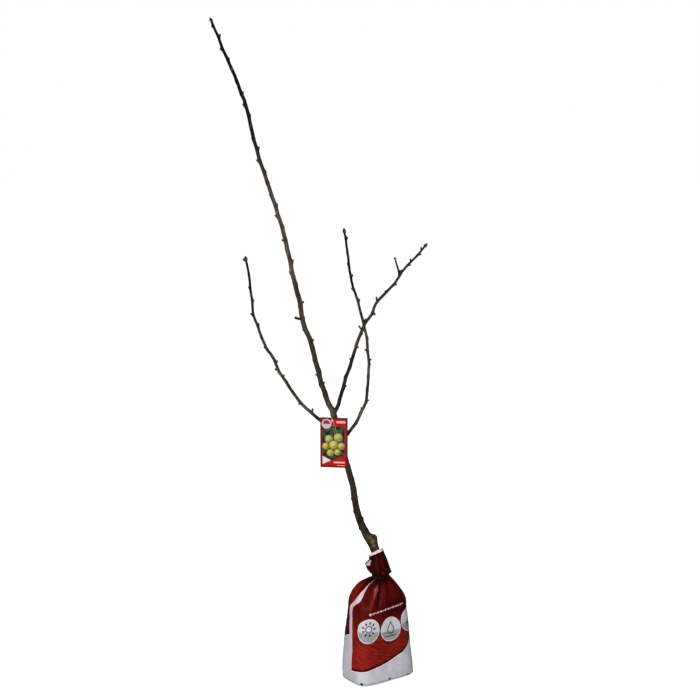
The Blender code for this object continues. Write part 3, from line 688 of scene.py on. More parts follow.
def swell_at_nodes(limb, places, turns, radii, dark):
    """Each node's swelling, the cushion under its bud and the dark line of its leaf scar."""
    for distance, turn in limb.nodes:
        along, apart = places[:, None] - distance, turn_between(turns, turn)[None, :]
        young = 1 - NODE_FADE * float(limb.age(distance))
        swell = NODE_SWELL * bell(along, 5 * MM)
        cushion = NODE_CUSHION * bell(along + 1.5 * MM, 3.2 * MM) * bell(apart, 0.75)
        radii = radii * (1 + young * (swell + cushion))
        under = bell(along + 3.4 * MM, 0.5 * MM) * bell(apart, 0.8)
        ring = bell(along + 0.5 * MM + 1.5 * MM * np.cos(apart), 0.35 * MM)
        dark = np.maximum(dark, np.maximum(0.8 * under, 0.3 * ring))
    return radii, dark


def swell_at_scars(scars, places, turns, radii, dark):
    """The rounded bumps that lost buds left on the trunk."""
    for distance, turn, height in scars:
        along, apart = places[:, None] - distance, turn_between(turns, turn)[None, :]
        radii = radii + height * bell(along, 3.8 * MM) * bell(apart, 0.6)
        under = bell(along + 2.6 * MM, 1 * MM) * bell(apart, 0.8)
        ring = bell(along - 0.6 * MM * np.cos(2 * apart), 0.6 * MM)
        dark = np.maximum(dark, np.maximum(0.9 * under, 0.22 * ring))
    return radii, dark


def bark_rings(limb, start, end, columns, step, seed, joins=(), rings=(), scars=()):
    """Rings of a limb's bark with its values. The limb's age is 1 on the rough trunk and 0 at a tip."""
    places = np.linspace(start, end, max(3, round((end - start) / step)) + 1)
    centres, _, front, side = limb.frames(places)
    around = np.arange(columns) / columns
    turns = ring_turns(columns)
    directions = ring_of(front, side, turns)
    radii = np.repeat(limb.radii(places)[:, None], columns, axis=1)
    pale = np.zeros_like(radii)
    radii, dark = swell_at_nodes(limb, places, turns, radii, np.zeros_like(radii))
    radii, dark = swell_at_scars(scars, places, turns, radii, dark)
    radii = flow_into(joins, centres, directions, radii)
    turned = np.broadcast_to(around[None, :], radii.shape)
    along = np.broadcast_to(places[:, None], radii.shape)
    girth = 2 * math.pi * float(radii.mean())
    age, tone = limb.age(places)[:, None], limb.tone(places)[:, None]
    rough = np.clip(2 * age - 0.8, 0, 1)

    def noise(number, length, width, fewest, shift=0.0):
        cells = max(fewest, round(girth / (width * MM)))
        return band_noise(turned + shift, along / (length * MM), cells, seed + number)

    def depth(everywhere, old):
        return (everywhere + old * rough) * MM

    wander = CRACK_WANDER * band_noise(turned, along / (9 * MM), 5, seed + 1)
    crack = bell(noise(2, *CRACK_CELLS, wander), CRACK_WIDTH)
    lumps = band_noise(turned, along / (14 * MM), 4, seed + 3)
    coarse, fine = noise(4, *COARSE_CELLS), noise(5, *FINE_CELLS)
    relief = depth(*COARSE_RELIEF) * coarse - depth(*CRACK_RELIEF) * crack
    relief = relief + depth(*LUMP_RELIEF) * lumps + depth(*FINE_RELIEF) * fine
    # Painted shade, kept as the relief value: dark in the cracks and in the hollows of the coarse grain
    shade = -crack * (0.25 + 0.6 * rough) + 0.35 * coarse
    wave = 0.3 * MM * band_noise(turned, along * 0, 5, seed + 6)
    for place, height in rings:
        relief = relief + height * bell(along - place - wave, 0.35 * MM)
        dark = np.maximum(dark, 0.5 * bell(along - place - wave - 0.6 * MM, 0.3 * MM))
    add_pores(places, around, radii, relief, pale, seed)
    grid = centres[:, None] + directions * (radii + relief)[..., None]
    grain = np.stack([np.cos(turns) * radii, np.sin(turns) * radii, along * GRAIN_STRETCH], axis=-1)
    return grid, {"grain": grain, "relief": shade, "pale": pale, "dark": dark, "age": age, "tone": tone}


BUD_ROWS, BUD_COLUMNS, BUD_SCALES = 20, 20, 6
SCALE_HALF_TURN = 1.35


def add_bud(skin, foot, heading, radius, length, turn):
    """A pointed bud wrapped in overlapping scales, the lowest outermost."""
    heading = unit(np.asarray(heading, float))
    helper = np.array((0.0, -1.0, 0.0)) if abs(heading[1]) < 0.9 else np.array((1.0, 0.0, 0.0))
    front = unit(helper - heading * heading.dot(helper))
    rise = np.linspace(0.0, 0.985, BUD_ROWS)[:, None]
    angles = ring_turns(BUD_COLUMNS)[None, :]
    base = (1 - rise ** 2.4) ** 0.85 * (1 + 0.28 * np.sin(math.pi * np.minimum(1, 1.15 * rise)))
    lift = np.zeros((BUD_ROWS, BUD_COLUMNS))
    margin = np.zeros_like(lift)
    for scale in range(BUD_SCALES):
        low, high = 0.06 * scale, 0.4 + 0.112 * scale
        share = np.clip((rise - low) / (high - low), 0, 1)
        half_width = SCALE_HALF_TURN * np.sqrt(np.clip(1 - share ** 2.4, 0, 1))
        apart = np.abs(turn_between(angles, turn + NODE_TURN * scale))
        inside = (apart < half_width) & (rise >= low) & (rise < high)
        thick = (BUD_SCALES - scale) * 0.045 + 0.08 * share
        edge = np.clip(1 - (half_width - apart) / 0.35, 0, 1) * inside
        over = inside & (thick > lift)
        margin = np.where(over, edge, margin)
        lift = np.where(over, thick, lift)
    reach = radius * (base + lift * np.sqrt(np.clip(1 - rise ** 3, 0, 1)))
    axis = np.asarray(foot) + heading * (rise * length)[..., None]
    grid = axis + ring_of(front, np.cross(heading, front), angles) * reach[..., None]
    skin.add(grid, grain=grid, pale=0.75 * margin, dark=0.7 * ramp(rise, 0.8, 1.0))


# Older wood carries spurs and small buds: those seen in the photo as (distance, turn in degrees, length),
# and between them, at nodes that face to the front or back, these shares of seeded ones
SEEN_SPURS = {
    "stem": [(588, 95, 2.4), (613, 268, 1.8), (701, 92, 2.2), (765, 264, 10.5), (803, 88, 3.2),
             (842, 200, 1.2), (966, 268, 2.6)],
    "left": [(75, 82, 5.0), (110, 262, 1.4), (196, 92, 1.5), (219, 262, 2.6), (238, 100, 2.0)],
    "centre": [(84, 95, 1.2), (196, 82, 1.6), (160, 275, 1.2), (247, 268, 5.5), (294, 84, 3.4),
               (331, 268, 4.6), (462, 268, 1.6), (488, 88, 1.8), (501, 262, 2.2)],
    "right": [(131, 85, 1.4), (236, 88, 2.2), (262, 268, 2.2), (105, 268, 1.2)],
}
FIRST_SPURS = {"stem": 690 * MM, "left": 20 * MM, "centre": 215 * MM, "right": 30 * MM}
SPUR_RADIUS, SPUR_STOUTNESS, SPUR_TAPER = 1.5 * MM, 0.2, 0.15
SPUR_SHARE, SMALL_BUD_SHARE = 0.4, 0.4
SPUR_SHORTEST, SPUR_LONGEST = 1.5 * MM, 4.0 * MM
SPUR_COLUMNS, SPUR_STEP, SPUR_RIDGE = 16, 0.45 * MM, 1.35 * MM
SIDEWAYS = 0.6


def add_spur(wood, buds, limb, distance, turn, length):
    """A short side growth ringed with old scars, with a bud at its end. A longer one stands out more."""
    lean = max(0.75, length / (5 * MM))
    radius = SPUR_RADIUS + SPUR_STOUTNESS * length
    centre, heading, out, limb_radius = limb.stance(distance, turn)
    share = np.linspace(0, 1, max(6, round(length / SPUR_STEP)) + 1)[:, None]
    first, last = unit(out + 0.15 * heading), unit(out * lean + heading)
    reach = length + limb_radius * 0.6
    axis = centre + out * limb_radius * 0.4 + reach * (share * first + share ** 2 * (last - first) * 0.6)
    ahead = unit(np.gradient(axis, axis=0))
    across = unit(np.cross(ahead, np.array((0.2, 0.9, 0.3))))
    turns = ring_turns(SPUR_COLUMNS)[None, :]
    ridge = np.abs(np.sin(share * reach / SPUR_RIDGE * math.pi))
    wide = radius * (1.25 - 0.25 * smooth_step(share * 2.5)) * (1 - SPUR_TAPER * share) * (0.9 + 0.16 * ridge)
    lumps = band_noise(turns / (2 * math.pi) + share * 0, share * reach / MM, 7, int(distance / MM))
    wide = wide + 0.08 * MM * lumps
    grid = axis[:, None] + ring_of(across, np.cross(ahead, across), turns) * wide[..., None]
    # The relief value here is painted shade in the hollows between the spur's lumps
    wood.add(grid, grain=grid, relief=0.5 * lumps, dark=(1 - ridge) * 0.8, age=limb.age(distance))
    width = 0.95 * (1 - SPUR_TAPER) * radius
    add_bud(buds, axis[-1] - ahead[-1] * 0.6 * MM, ahead[-1], width, SPUR_BUD_LENGTH, turn)


def add_shoot_bud(buds, limb, distance, turn, size):
    centre, heading, out, radius = limb.stance(distance, turn)
    along = heading * math.cos(BUD_LEAN) + out * math.sin(BUD_LEAN)
    foot = centre + out * 0.62 * radius - heading * 1.2 * MM
    width = min(BUD_WIDEST, 0.68 * radius + 0.35 * MM) * size
    add_bud(buds, foot, along, width, BUD_LENGTH * size, turn)


def add_old_bud(buds, limb, distance, turn):
    centre, heading, out, radius = limb.stance(distance, turn)
    add_bud(buds, centre + out * 0.8 * radius, heading * 0.8 + out, OLD_BUD_RADIUS, OLD_BUD_LENGTH, turn)


def grow_nodes(limb, split, wood, buds):
    """Buds on the young shoot past the split, and spurs, small buds or bare scars on the wood before it."""
    for index, (distance, turn) in enumerate(limb.nodes):
        draw = random.Random(f"{SEED} {limb.name} node {index}")
        kind, length, size = draw.random(), draw.random(), draw.uniform(BUD_SHORTEST, BUD_LONGEST)
        if distance > split:
            add_shoot_bud(buds, limb, distance, turn, size)
        elif distance < FIRST_SPURS[limb.name] or abs(math.sin(turn)) > SIDEWAYS:
            continue
        elif kind < SPUR_SHARE:
            length = SPUR_SHORTEST + length * (SPUR_LONGEST - SPUR_SHORTEST)
            add_spur(wood, buds, limb, distance, turn, length)
        elif kind < SPUR_SHARE + SMALL_BUD_SHARE:
            add_old_bud(buds, limb, distance, turn)
    for distance, turn, length in SEEN_SPURS[limb.name]:
        add_spur(wood, buds, limb, distance * MM, math.radians(turn), length * MM)


def add_tip(limb, buds, turn, size=1.0, partner=None, extra=0.0):
    """The bud that ends a shoot, with a smaller one pressed to its side where partner gives its angle."""
    centre, heading, out, radius = limb.stance(limb.length - TIP_BUD_LENGTH, partner or 0.0)
    foot = centre - heading * 0.8 * MM
    reach = TIP_BUD_LENGTH + TIP_BUD_EXTRA * size + extra
    add_bud(buds, foot, limb.at(limb.length)[0] - foot, radius * 0.95 * size, reach, turn)
    if partner is not None:
        foot = centre + out * 0.6 * radius - heading * 1.5 * MM
        add_bud(buds, foot, heading + 1.1 * out, radius * 0.95, TIP_BUD_LENGTH, partner)


def year_rings(place):
    """The crowded scars that ring a limb where one year's growth ends."""
    return [(place + offset * MM, 0.2 * MM) for offset in (-2.1, -1.2, 0.0, 0.9, 2.3)]


def seed_of(name):
    return sum(ord(letter) for letter in name) * 10


def node_limb(name, points, widths, ages=BOUGH_AGES):
    """A limb with nodes by its rule."""
    first, spacing, phase = NODE_RULE[name]
    return Limb(name, points, widths, first * MM, spacing * MM, math.radians(phase), ages)


def make_limbs():
    """The bark of trunk, leader, boughs and shoots, with their spurs, buds and graft. Gives the stem."""
    looks = {
        "trunk_bark": bark_look("trunk_bark_rough", 0.8, 0.06),
        "bough_bark": bark_look("bough_bark_smooth", 0.7, 0.06),
        "shoot_bark": bark_look("shoot_bark_young", 0.58, 0.035),
    }
    stem = node_limb("stem", TRUNK_ROUTE + LEADER_ROUTE, STEM_WIDTHS, STEM_AGES)
    left = node_limb("left", LEFT_ROUTE, LEFT_WIDTHS)
    centre = node_limb("centre", CENTRE_ROUTE, CENTRE_WIDTHS, CENTRE_AGES)
    right = node_limb("right", RIGHT_ROUTE, RIGHT_WIDTHS)
    twigs = [
        Limb("twig", route, widths, ages=((0, 0.1),))
        for route, widths in ((SIDE_TWIG_ROUTE, SIDE_TWIG_WIDTHS), (SIDE_SPUR_ROUTE, SIDE_SPUR_WIDTHS))
    ]
    fork = stem.distance_at(FORK_Z)
    crown = fork + LEADER_LENGTH
    joins = [
        Join(Limb("stub", STUB_ROUTE, STUB_WIDTHS)), Join(Limb("knob", KNOB_ROUTE, KNOB_WIDTHS)),
        Join(right, 17 * MM), Join(left, 15 * MM), Join(centre, 21 * MM),
    ]
    scars = [
        (stem.distance_at(height * MM), math.radians(turn), rise * MM)
        for height, turn, rise in TRUNK_SCARS
    ]

    # Each stretch of bark: the node that it replaces, the limb, its start and end, the columns and the step
    # of its mesh, its slot, and what else shapes it
    stretches = [
        ("trunk", stem, 0, fork, 96, 0.75, "trunk_bark", {"joins": joins, "scars": scars}),
        ("leader", stem, fork, crown, 72, 0.75, "bough_bark", {"joins": joins, "rings": year_rings(crown)}),
        ("leader_shoot", stem, crown, None, 48, 0.9, "shoot_bark", {"rings": year_rings(crown)}),
        ("left_bough", left, 0, LEFT_SPLIT, 40, 0.8, "bough_bark", {"rings": year_rings(LEFT_SPLIT)}),
        ("left_shoot", left, LEFT_SPLIT, None, 36, 0.8, "shoot_bark", {"rings": year_rings(LEFT_SPLIT)}),
        ("centre_bough", centre, 0, CENTRE_SPLIT, 44, 0.8, "bough_bark", {"rings": year_rings(CENTRE_SPLIT)}),
        ("right_bough_lower", right, 0, RIGHT_BEND, 44, 0.8, "bough_bark", {}),
        ("right_bough_upper", right, RIGHT_BEND, RIGHT_SPLIT, 40, 0.8, "bough_bark",
         {"rings": year_rings(RIGHT_SPLIT)}),
        ("right_shoot", right, RIGHT_SPLIT, None, 36, 0.8, "shoot_bark", {"rings": year_rings(RIGHT_SPLIT)}),
        ("centre_shoot", centre, CENTRE_SPLIT, None, 36, 0.8, "shoot_bark",
         {"rings": year_rings(CENTRE_SPLIT)}),
    ]
    for node, limb, start, end, columns, step, slot, more in stretches:
        skin = Skin(**BARK_VALUES)
        end = limb.length - TIP_BUD_LENGTH if end is None else end
        grid, values = bark_rings(limb, start, end, columns, step * MM, seed_of(limb.name), **more)
        if limb is stem:
            brighten_patches(grid, values)
        skin.add(grid, strips=4, **values)
        if node == "centre_shoot":
            for twig, columns in zip(twigs, (24, 18)):
                grid, values = bark_rings(twig, 0, twig.length - 2 * MM, columns, 0.6 * MM, 91)
                skin.add(grid, **values)
        skin.build(f"{node}_wood", looks[slot], slot, [node])

    spurs, buds = Skin(**BARK_VALUES), Skin(**BARK_VALUES)
    for limb, split in ((stem, crown), (left, LEFT_SPLIT), (centre, CENTRE_SPLIT), (right, RIGHT_SPLIT)):
        grow_nodes(limb, split, spurs, buds)
    add_tip(stem, buds, 0.4)
    add_tip(left, buds, 1.0, size=1.2, partner=math.radians(250))
    add_tip(centre, buds, 2.0, size=1.2)
    add_tip(right, buds, 3.0, size=1.25, extra=3 * MM)
    for twig, length in zip(twigs, (6 * MM, 3.6 * MM)):
        foot = twig.at(twig.length - 2.6 * MM)[0]
        heading = twig.frames(twig.length - 3 * MM)[1][0]
        add_bud(buds, foot, heading, 1.1 * float(twig.radii(twig.length - 4 * MM)[0]), length, 0.5)
    add_crotch_stub(spurs)
    spurs.build("spurs", looks["bough_bark"], "bough_bark")
    buds.build("buds", bud_look(), "shoot_bark", sharp=35)
    add_graft_scar()
    return stem
def add_crotch_stub(spurs):
    """The dry stub left in the fork between the leader and the centre bough."""
    share = np.linspace(0, 1, 14)[:, None]
    foot, top = np.array(CROTCH_STUB) * MM
    axis = foot + share * (top - foot)
    turns = ring_turns(18)[None, :]
    wide = CROTCH_STUB_RADIUS * (1 - 0.35 * share) * np.sqrt(np.clip(1.02 - share ** 4, 0.05, 1))
    ring = np.stack([np.cos(turns), np.sin(turns), 0 * turns], axis=-1)
    rough = 0.2 * MM * band_noise(turns / (2 * math.pi) + 0 * share, share * 6, 6, 31)
    grid = axis[:, None] + ring * (wide + rough)[..., None]
    spurs.add(grid, grain=grid, dark=0.75, age=0.3)


def brighten_patches(grid, values):
    """Paler bark over the swollen graft, and painted highlights on the front of the fork and leader."""
    for middle, reach, strength in PALE_PATCHES_AND_HIGHLIGHTS:
        away = np.linalg.norm((grid - np.array(middle) * MM) / (np.array(reach) * MM), axis=-1)
        values["pale"] = np.maximum(values["pale"], strength * np.exp(-away ** 2))


def scar_look():
    """Healed wood: a dark brown heart, a tan ring and bark coloured outside."""
    look = Look("graft_scar_healed", 0.75, specular=0.2)
    place = look.place("grain")
    patch = look.noise(place, 300.0, detail=4.0).from_to(0.3, 0.7)
    colour = look.mix(patch, OLD_BARK[1], (0.07, 0.048, 0.026))
    colour = look.mix(look.value("pale"), colour, (0.17, 0.115, 0.06))
    colour = look.mix(look.value("dark"), colour, (0.02, 0.006, 0.0015))
    return look.finish(colour, None, look.noise(place, 1500.0, detail=4.0), 0.3 * MM)


def add_graft_scar():
    """The healed cut on the rootstock's stub: a sunken dark heart in a ring of new wood."""
    skin = Skin(**BARK_VALUES)
    middle, facing = np.array(SCAR_CENTRE) * MM, unit(np.array(SCAR_FACING))
    across = unit(np.cross(np.array((0.0, 0, 1)), facing))
    up = np.cross(facing, across)
    turns = ring_turns(56)[None, :]
    share = np.linspace(0.02, 1, 24)[::-1, None]
    lump = 1 + 0.07 * band_noise(turns / (2 * math.pi), turns * 0, 6, 12)
    ring = ring_of(across * SCAR_HALF_WIDTH, up * SCAR_HALF_HEIGHT, turns)
    rim = 1.4 * bell(share - 0.8, 0.14) - 1.4 * (1 - ramp(share, 0.42, 0.72)) - 4.5 * share ** 6
    rough = 0.25 * band_noise(turns / (2 * math.pi) + 0 * share, share * 6, 12, 13)
    grid = middle + ring * (share * lump)[..., None] + facing * ((rim + rough) * MM)[..., None]
    dark = 1 - smooth_step((share - 0.55 - 0.08 * rough) / 0.14)
    skin.add(grid, grain=grid, pale=0.9 * bell(share - 0.82, 0.14), dark=dark, age=1.0)
    skin.build("graft_scar", scar_look(), "trunk_bark")


def section_radius(angle, half_width, half_depth, squareness):
    across = np.abs(np.cos(angle) / half_width) ** squareness
    along = np.abs(np.sin(angle) / half_depth) ** squareness
    return (across + along) ** (-1 / squareness)


def bag_section(height):
    """Half width, half depth, squareness and pleat depth of the bag between its underside and neck."""
    rise = min(height / SHOULDER_Z, 1.0)
    half_width = BASE_HALF_WIDTH + (SHOULDER_HALF_WIDTH - BASE_HALF_WIDTH) * rise
    half_depth = BASE_HALF_DEPTH + (SHOULDER_HALF_DEPTH - BASE_HALF_DEPTH) * rise
    half_depth += BELLY * math.sin(math.pi * rise)
    if height <= SHOULDER_Z:
        return half_width, half_depth, BODY_SQUARENESS, 0.0
    climb = shoulder_climb(height)
    share = (1 - min(climb, 1.0) ** SHOULDER_ROUND) ** SHOULDER_POWER
    half_width = NECK_RADIUS + (SHOULDER_HALF_WIDTH - NECK_RADIUS) * share
    half_depth = NECK_RADIUS + (SHOULDER_HALF_DEPTH - NECK_RADIUS) * share
    squareness = NECK_SQUARENESS + (BODY_SQUARENESS - NECK_SQUARENESS) * (1 - climb)
    return half_width, half_depth, squareness, NECK_PLEAT * climb


def shoulder_climb(height):
    return max(0.0, (height - SHOULDER_Z) / (NECK_Z - SHOULDER_Z))


def bag_row(height, angles, inset=0.0, level=None, share=1.0):
    """One ring of the bag's body. level is its real height where that isn't the section's."""
    half_width, half_depth, squareness, pleat = bag_section(height)
    middle = BODY_OFFSET * min((height - BASE_EDGE) / BODY_OFFSET_Z, 1.0)
    gather = shoulder_climb(height) ** GATHER_POWER
    middle = middle * (1 - gather) + NECK_CENTRE * gather
    radius = section_radius(angles, half_width, half_depth, squareness) - inset
    radius = (radius + pleat * np.cos(BAG_PLEATS * angles)) * share
    turned = angles + BAG_YAW
    up = np.full_like(angles, height if level is None else level)
    return middle + np.stack([np.cos(turned) * radius, np.sin(turned) * radius, up], axis=1)


def collar_row(share, stem, angles):
    """One ring of the collar, square to the trunk, at a share of the way from the tie to the rim."""
    climb = COLLAR_HEIGHT * share
    place = stem.distance_at(TIE_Z) + climb
    blend = min(1.0, LEAN_RATE * max(0.0, share - FLARE_START))
    upright = NECK_CENTRE + np.array((0, 0, TIE_Z + climb))
    middle = upright * (1 - blend) + stem.at(place, stem.plain)[0] * blend
    heading = unit(stem.at(place + 12 * MM, stem.plain)[0] - stem.at(place - 12 * MM, stem.plain)[0])
    axis = unit(np.array((0, 0, 1.0)) * (1 - blend) + heading * blend)
    side = unit(np.cross(np.array((0, 1.0, 0)), axis))
    back = np.cross(axis, side)
    if share < FLARE_END:
        flare = max(0.0, (share - FLARE_START) / (FLARE_END - FLARE_START))
        radius = NECK_RADIUS + (COLLAR_RADIUS - NECK_RADIUS) * math.sin(math.pi / 2 * flare)
    else:
        radius = COLLAR_RADIUS + (RIM_RADIUS - COLLAR_RADIUS) * (share - FLARE_END) / (1 - FLARE_END)
    pleat = RIM_PLEAT + (NECK_PLEAT - RIM_PLEAT) * (1 - share) ** 2
    reach = radius + pleat * np.cos(BAG_PLEATS * angles)
    turned = angles + BAG_YAW
    if share > FLARE_START:
        if share <= FLAP_SHARE:
            out = ((share - FLARE_START) / (FLAP_SHARE - FLARE_START)) ** FLAP_BULGE
        else:
            out = max(0.0, (FLAP_TOP - share) / (FLAP_TOP - FLAP_SHARE))
        reach = reach + FLAP_REACH * out * np.clip(np.cos(turned - FLAP_DIRECTION), 0, None) ** FLAP_SHARPNESS
    return middle + side * (np.cos(turned) * reach)[:, None] + back * (np.sin(turned) * reach)[:, None]


# Printed film: a pale stripe down each side seam as (height, turn, half width in degrees), and below each
# red panel a pale foot whose edge climbs, as (degrees from the panel's start, height)
BAG_COLUMNS = 264
SEAM_ANGLE = math.radians(182.5)
STRIPE_PATH = [
    (0, 182, 3.2), (35, 182, 3.4), (88, 182.6, 4.6), (140, 179.4, 5), (185, 174.6, 5.2), (201, 175, 5.6),
    (212, 183.5, 6.6), (221, 190.6, 7.6), (232, 194.6, 6.4), (240, 197, 4.4), (248, 199.3, 3),
    (258, 201.5, 2.2), (266, 203, 1.6), (275, 204, 1.2),
]
FOOT_EDGE = [
    (-8, 34), (0, 35), (16, 38.5), (28, 41), (40, 45), (57, 49.5), (80, 55), (101, 62), (120, 70.5),
    (130, 80), (137, 95), (150, 113), (160, 123), (172, 128),
]
PANEL_START = math.radians(187)
PRINT_LEVEL = 145 * MM

# Folds of the shoulder: turns at the neck and at the foot, foot height, depth and half width in degrees
SHOULDER_FOLDS = [
    (236, 217, 178, 4.6, 9), (252, 238, 180, -6.0, 9), (272, 257, 184, 1.8, 9), (285, 281, 190, -1.2, 9),
    (302, 303, 186, 1.6, 9), (318, 321, 182, -1.6, 8), (216, 230, 238, 1.8, 3), (253, 233, 238, 1.8, 3),
    (215, 210, 200, -2.2, 5), (206, 202, 192, 2.0, 5), (196, 188, 203, 1.6, 5), (186, 176, 198, -1.8, 5),
]
BACK_FOLD_START, BACK_FOLD_END, BACK_FOLD_STEP = 335, 535, 17

# The side gusset that is seen on the left is drawn in a little
GUSSET_ANGLE, GUSSET_HALF_ANGLE, GUSSET_DEPTH = 152, 20, 3.2 * MM

# Straight creases of the front, as points (along the panel, height) in millimetres from the side seam
CREASES = [
    ((18, 172), (32, 158), 0.9, 2.2), ((70, 196), (78, 182), 0.8, 2.0), ((30, 60), (95, 84), 0.6, 3.0),
    ((12, 84), (60, 66), 0.5, 3.0), ((50, 118), (120, 98), 0.5, 3.0), ((100, 92), (140, 112), 0.5, 2.5),
    ((8, 132), (36, 112), 0.5, 2.5), ((120, 165), (150, 140), 0.6, 2.5), ((66, 186), (58, 210), 0.7, 2.2),
]
DRAIN_HOLES = [(178.5, 2.6, 3.2), (207.2, 6.6, 3.9), (267.2, 7.5, 3.5), (316.6, 4.0, 3.1)]
SLANT = math.radians(28)
SLANT_STRETCH = 0.13
LIP_LEVEL, LIP_REACH = 2.6, 0.8
GROOVE_LEVEL, GROOVE_DEPTH = 5.6, 0.9
FLAT_ROWS = 9
TIE_ROWS, COLLAR_ROWS = 5, 44
HOLE_DENT, HOLE_EDGE = 1.2 * MM, 0.6 * MM
INNER_FINE_ROW = 150


def bag_levels():
    """Rows of the bag's body, bottom to neck, as (section height, inset, real height, share)."""
    rows = [(BASE_EDGE, BASE_EDGE, 0.0, share) for share in (0.05, 0.3, 0.55, 0.78, 1.0)]
    for step in range(1, 12):
        turn = math.pi / 2 * step / 12
        rows.append((BASE_EDGE, BASE_EDGE * (1 - math.sin(turn)), BASE_EDGE * (1 - math.cos(turn)), 1.0))
    rows += [(height, 0.0, height, 1.0) for height in np.linspace(BASE_EDGE, SHOULDER_Z, 112)]
    climbs = np.linspace(0, 1, 4001)
    heights = SHOULDER_Z + (NECK_Z - SHOULDER_Z) * climbs
    widths = np.array([bag_section(height)[0] for height in heights])
    path = np.concatenate([[0], np.cumsum(np.hypot(np.diff(widths), np.diff(heights)))])
    for along in np.linspace(0, path[-1], 64)[1:]:
        height = float(np.interp(along, path, heights))
        rows.append((height, 0.0, height, 1.0))
    return rows


def grid_normals(grid):
    along = np.gradient(grid, axis=0)
    around = np.roll(grid, -1, axis=1) - np.roll(grid, 1, axis=1)
    normal = np.cross(around, along)
    return normal / np.maximum(np.linalg.norm(normal, axis=-1, keepdims=True), 1e-12)


def fold_relief(degrees, height):
    """Folds that gather the film from the shoulder into the neck."""
    relief = np.zeros(np.broadcast(degrees, height).shape)
    folds = list(SHOULDER_FOLDS)
    draw = random.Random(SEED)
    sign = 1
    for angle in range(BACK_FOLD_START, BACK_FOLD_END, BACK_FOLD_STEP):
        spot = angle + draw.uniform(-3, 3)
        folds.append((spot + draw.uniform(-4, 14), spot, draw.uniform(172, 204),
                      sign * draw.uniform(1.4, 3.2), draw.uniform(4, 7)))
        sign = -sign
    for neck, foot, foot_height, depth, half_width in folds:
        share = (height / MM - foot_height) / (NECK_Z / MM - foot_height)
        middle = foot + (neck - foot) * np.clip(share, 0, 1) ** 1.3
        apart = np.abs((degrees - middle + 180) % 360 - 180)
        width = half_width * (1 + 0.35 * np.clip(share, 0, 1))
        body = np.clip(1 - apart / width, 0, 1) ** 1.4
        fade = smooth_step(share / 0.35) * (1 - smooth_step((share - 0.75) / 0.35))
        relief += depth * MM * body * fade
    return relief


def crease_relief(along, height):
    relief = np.zeros_like(along)
    for (x1, z1), (x2, z2), depth, width in CREASES:
        start, run = np.array((x1, z1)) * MM, np.array((x2 - x1, z2 - z1)) * MM
        offset = np.stack([along - start[0], height - start[1]], axis=-1)
        share = np.clip((offset @ run) / run.dot(run), 0, 1)
        away = np.linalg.norm(offset - share[..., None] * run, axis=-1)
        taper = np.sin(math.pi * np.clip(share, 0.02, 0.98)) ** 0.5
        relief += depth * MM * taper * np.exp(-(away / (width * MM)) ** 2)
    return relief


def bag_outline(stem, angles):
    """The plain bag's rings from underside to rim, each ring's height, and its level on the body alone."""
    levels = bag_levels()
    rings = [bag_row(height, angles, inset, level, share) for height, inset, level, share in levels]
    section = [level for _, _, level, _ in levels]
    neck, tie = rings[-1], collar_row(0.0, stem, angles)
    for step in range(1, TIE_ROWS):
        rings.append(neck + (tie - neck) * step / TIE_ROWS)
        section.append(NECK_Z + (TIE_Z - NECK_Z) * step / TIE_ROWS)
    shares = np.linspace(0, 1, COLLAR_ROWS)
    rings += [collar_row(share, stem, angles) for share in shares]
    section += [TIE_Z + COLLAR_HEIGHT * share for share in shares]
    level = section[:len(levels)] + [1.0] * (len(section) - len(levels))
    return np.array(rings), np.array(section)[:, None], np.array(level)[:, None]


def film_noise(around, height, length, cells, seed):
    """Noise with so many cells round the bag, each so many millimetres high."""
    return band_noise(around, height / (length * MM), cells, seed)


def body_relief(around, along, height, degrees, girth, downhill, across):
    """Dents, lumps, slanting wrinkles, creases and folds of the body, and its drawn-in gusset."""
    on_body = ramp(height, 4 * MM, 24 * MM) * (1 - ramp(height, 225 * MM, 260 * MM))
    dents = film_noise(around, height, 44, 11, 41) + 0.5 * film_noise(around, height, 21, 23, 42)
    lumps = film_noise(around, height, 9, 52, 43)
    wrinkle = band_noise(downhill / (26 * MM) / 64 % 1.0, across / (4.4 * MM), 64, 44)
    to_seam = np.abs((around + 0.25) % 0.5 - 0.25) * girth
    wrinkle = np.sign(wrinkle) * np.abs(wrinkle) ** 1.4 * ramp(to_seam, 0, 12 * MM)
    film = film_noise(around, height, 2.6, 150, 45)
    relief = MM * (1.3 * dents + 0.3 * lumps + 0.4 * wrinkle + 0.06 * film)
    relief = relief + crease_relief(along, height) + 0.8 * crease_relief(along - girth / 2 + 6 * MM, height)
    drawn_in = ramp(height, 40 * MM, 90 * MM) * (1 - ramp(height, 195 * MM, 235 * MM))
    gusset = GUSSET_DEPTH * drawn_in * bell(degrees - GUSSET_ANGLE, GUSSET_HALF_ANGLE)
    return on_body * relief + fold_relief(degrees, height) - gusset


def neck_relief(around, height, collar):
    """Tight gathers at the tie, full on both sides of the wire and loosening into the crumpled collar."""
    gather = film_noise(around, height, 14, 40, 46) + 0.6 * film_noise(around, height, 4, 34, 51)
    furrow = bell(band_noise(around, height / (7 * MM) + 4 * around, 14, 52), 0.16)
    glint = ramp(band_noise(around, height / (3 * MM) - 5 * around, 27, 53), 0.3, 0.7) * (1 - furrow)
    # The crease value also sets painted shade in the furrows and painted glints in the look
    crease = np.exp(-((height - CREASED_Z) / CREASED_REACH) ** 4) * (glint - furrow)
    from_tie = height - TIE_Z
    relief = 0.6 * MM * bell(from_tie, 13 * MM) * gather + PUCKER * crease
    relief = relief + TIE_BULGE * bell(from_tie, TIE_BULGE_REACH)
    relief = relief - TIE_GROOVE * bell(from_tie, TIE_GROOVE_REACH)
    crumple = film_noise(around, height, 22, 7, 47) + 0.4 * film_noise(around, height, 8, 16, 48)
    crumple = 0.9 * crumple + 0.1 * film_noise(around, height, 3, 50, 49)
    return relief + MM * ramp(collar, 0.12, 0.37) * crumple, crease


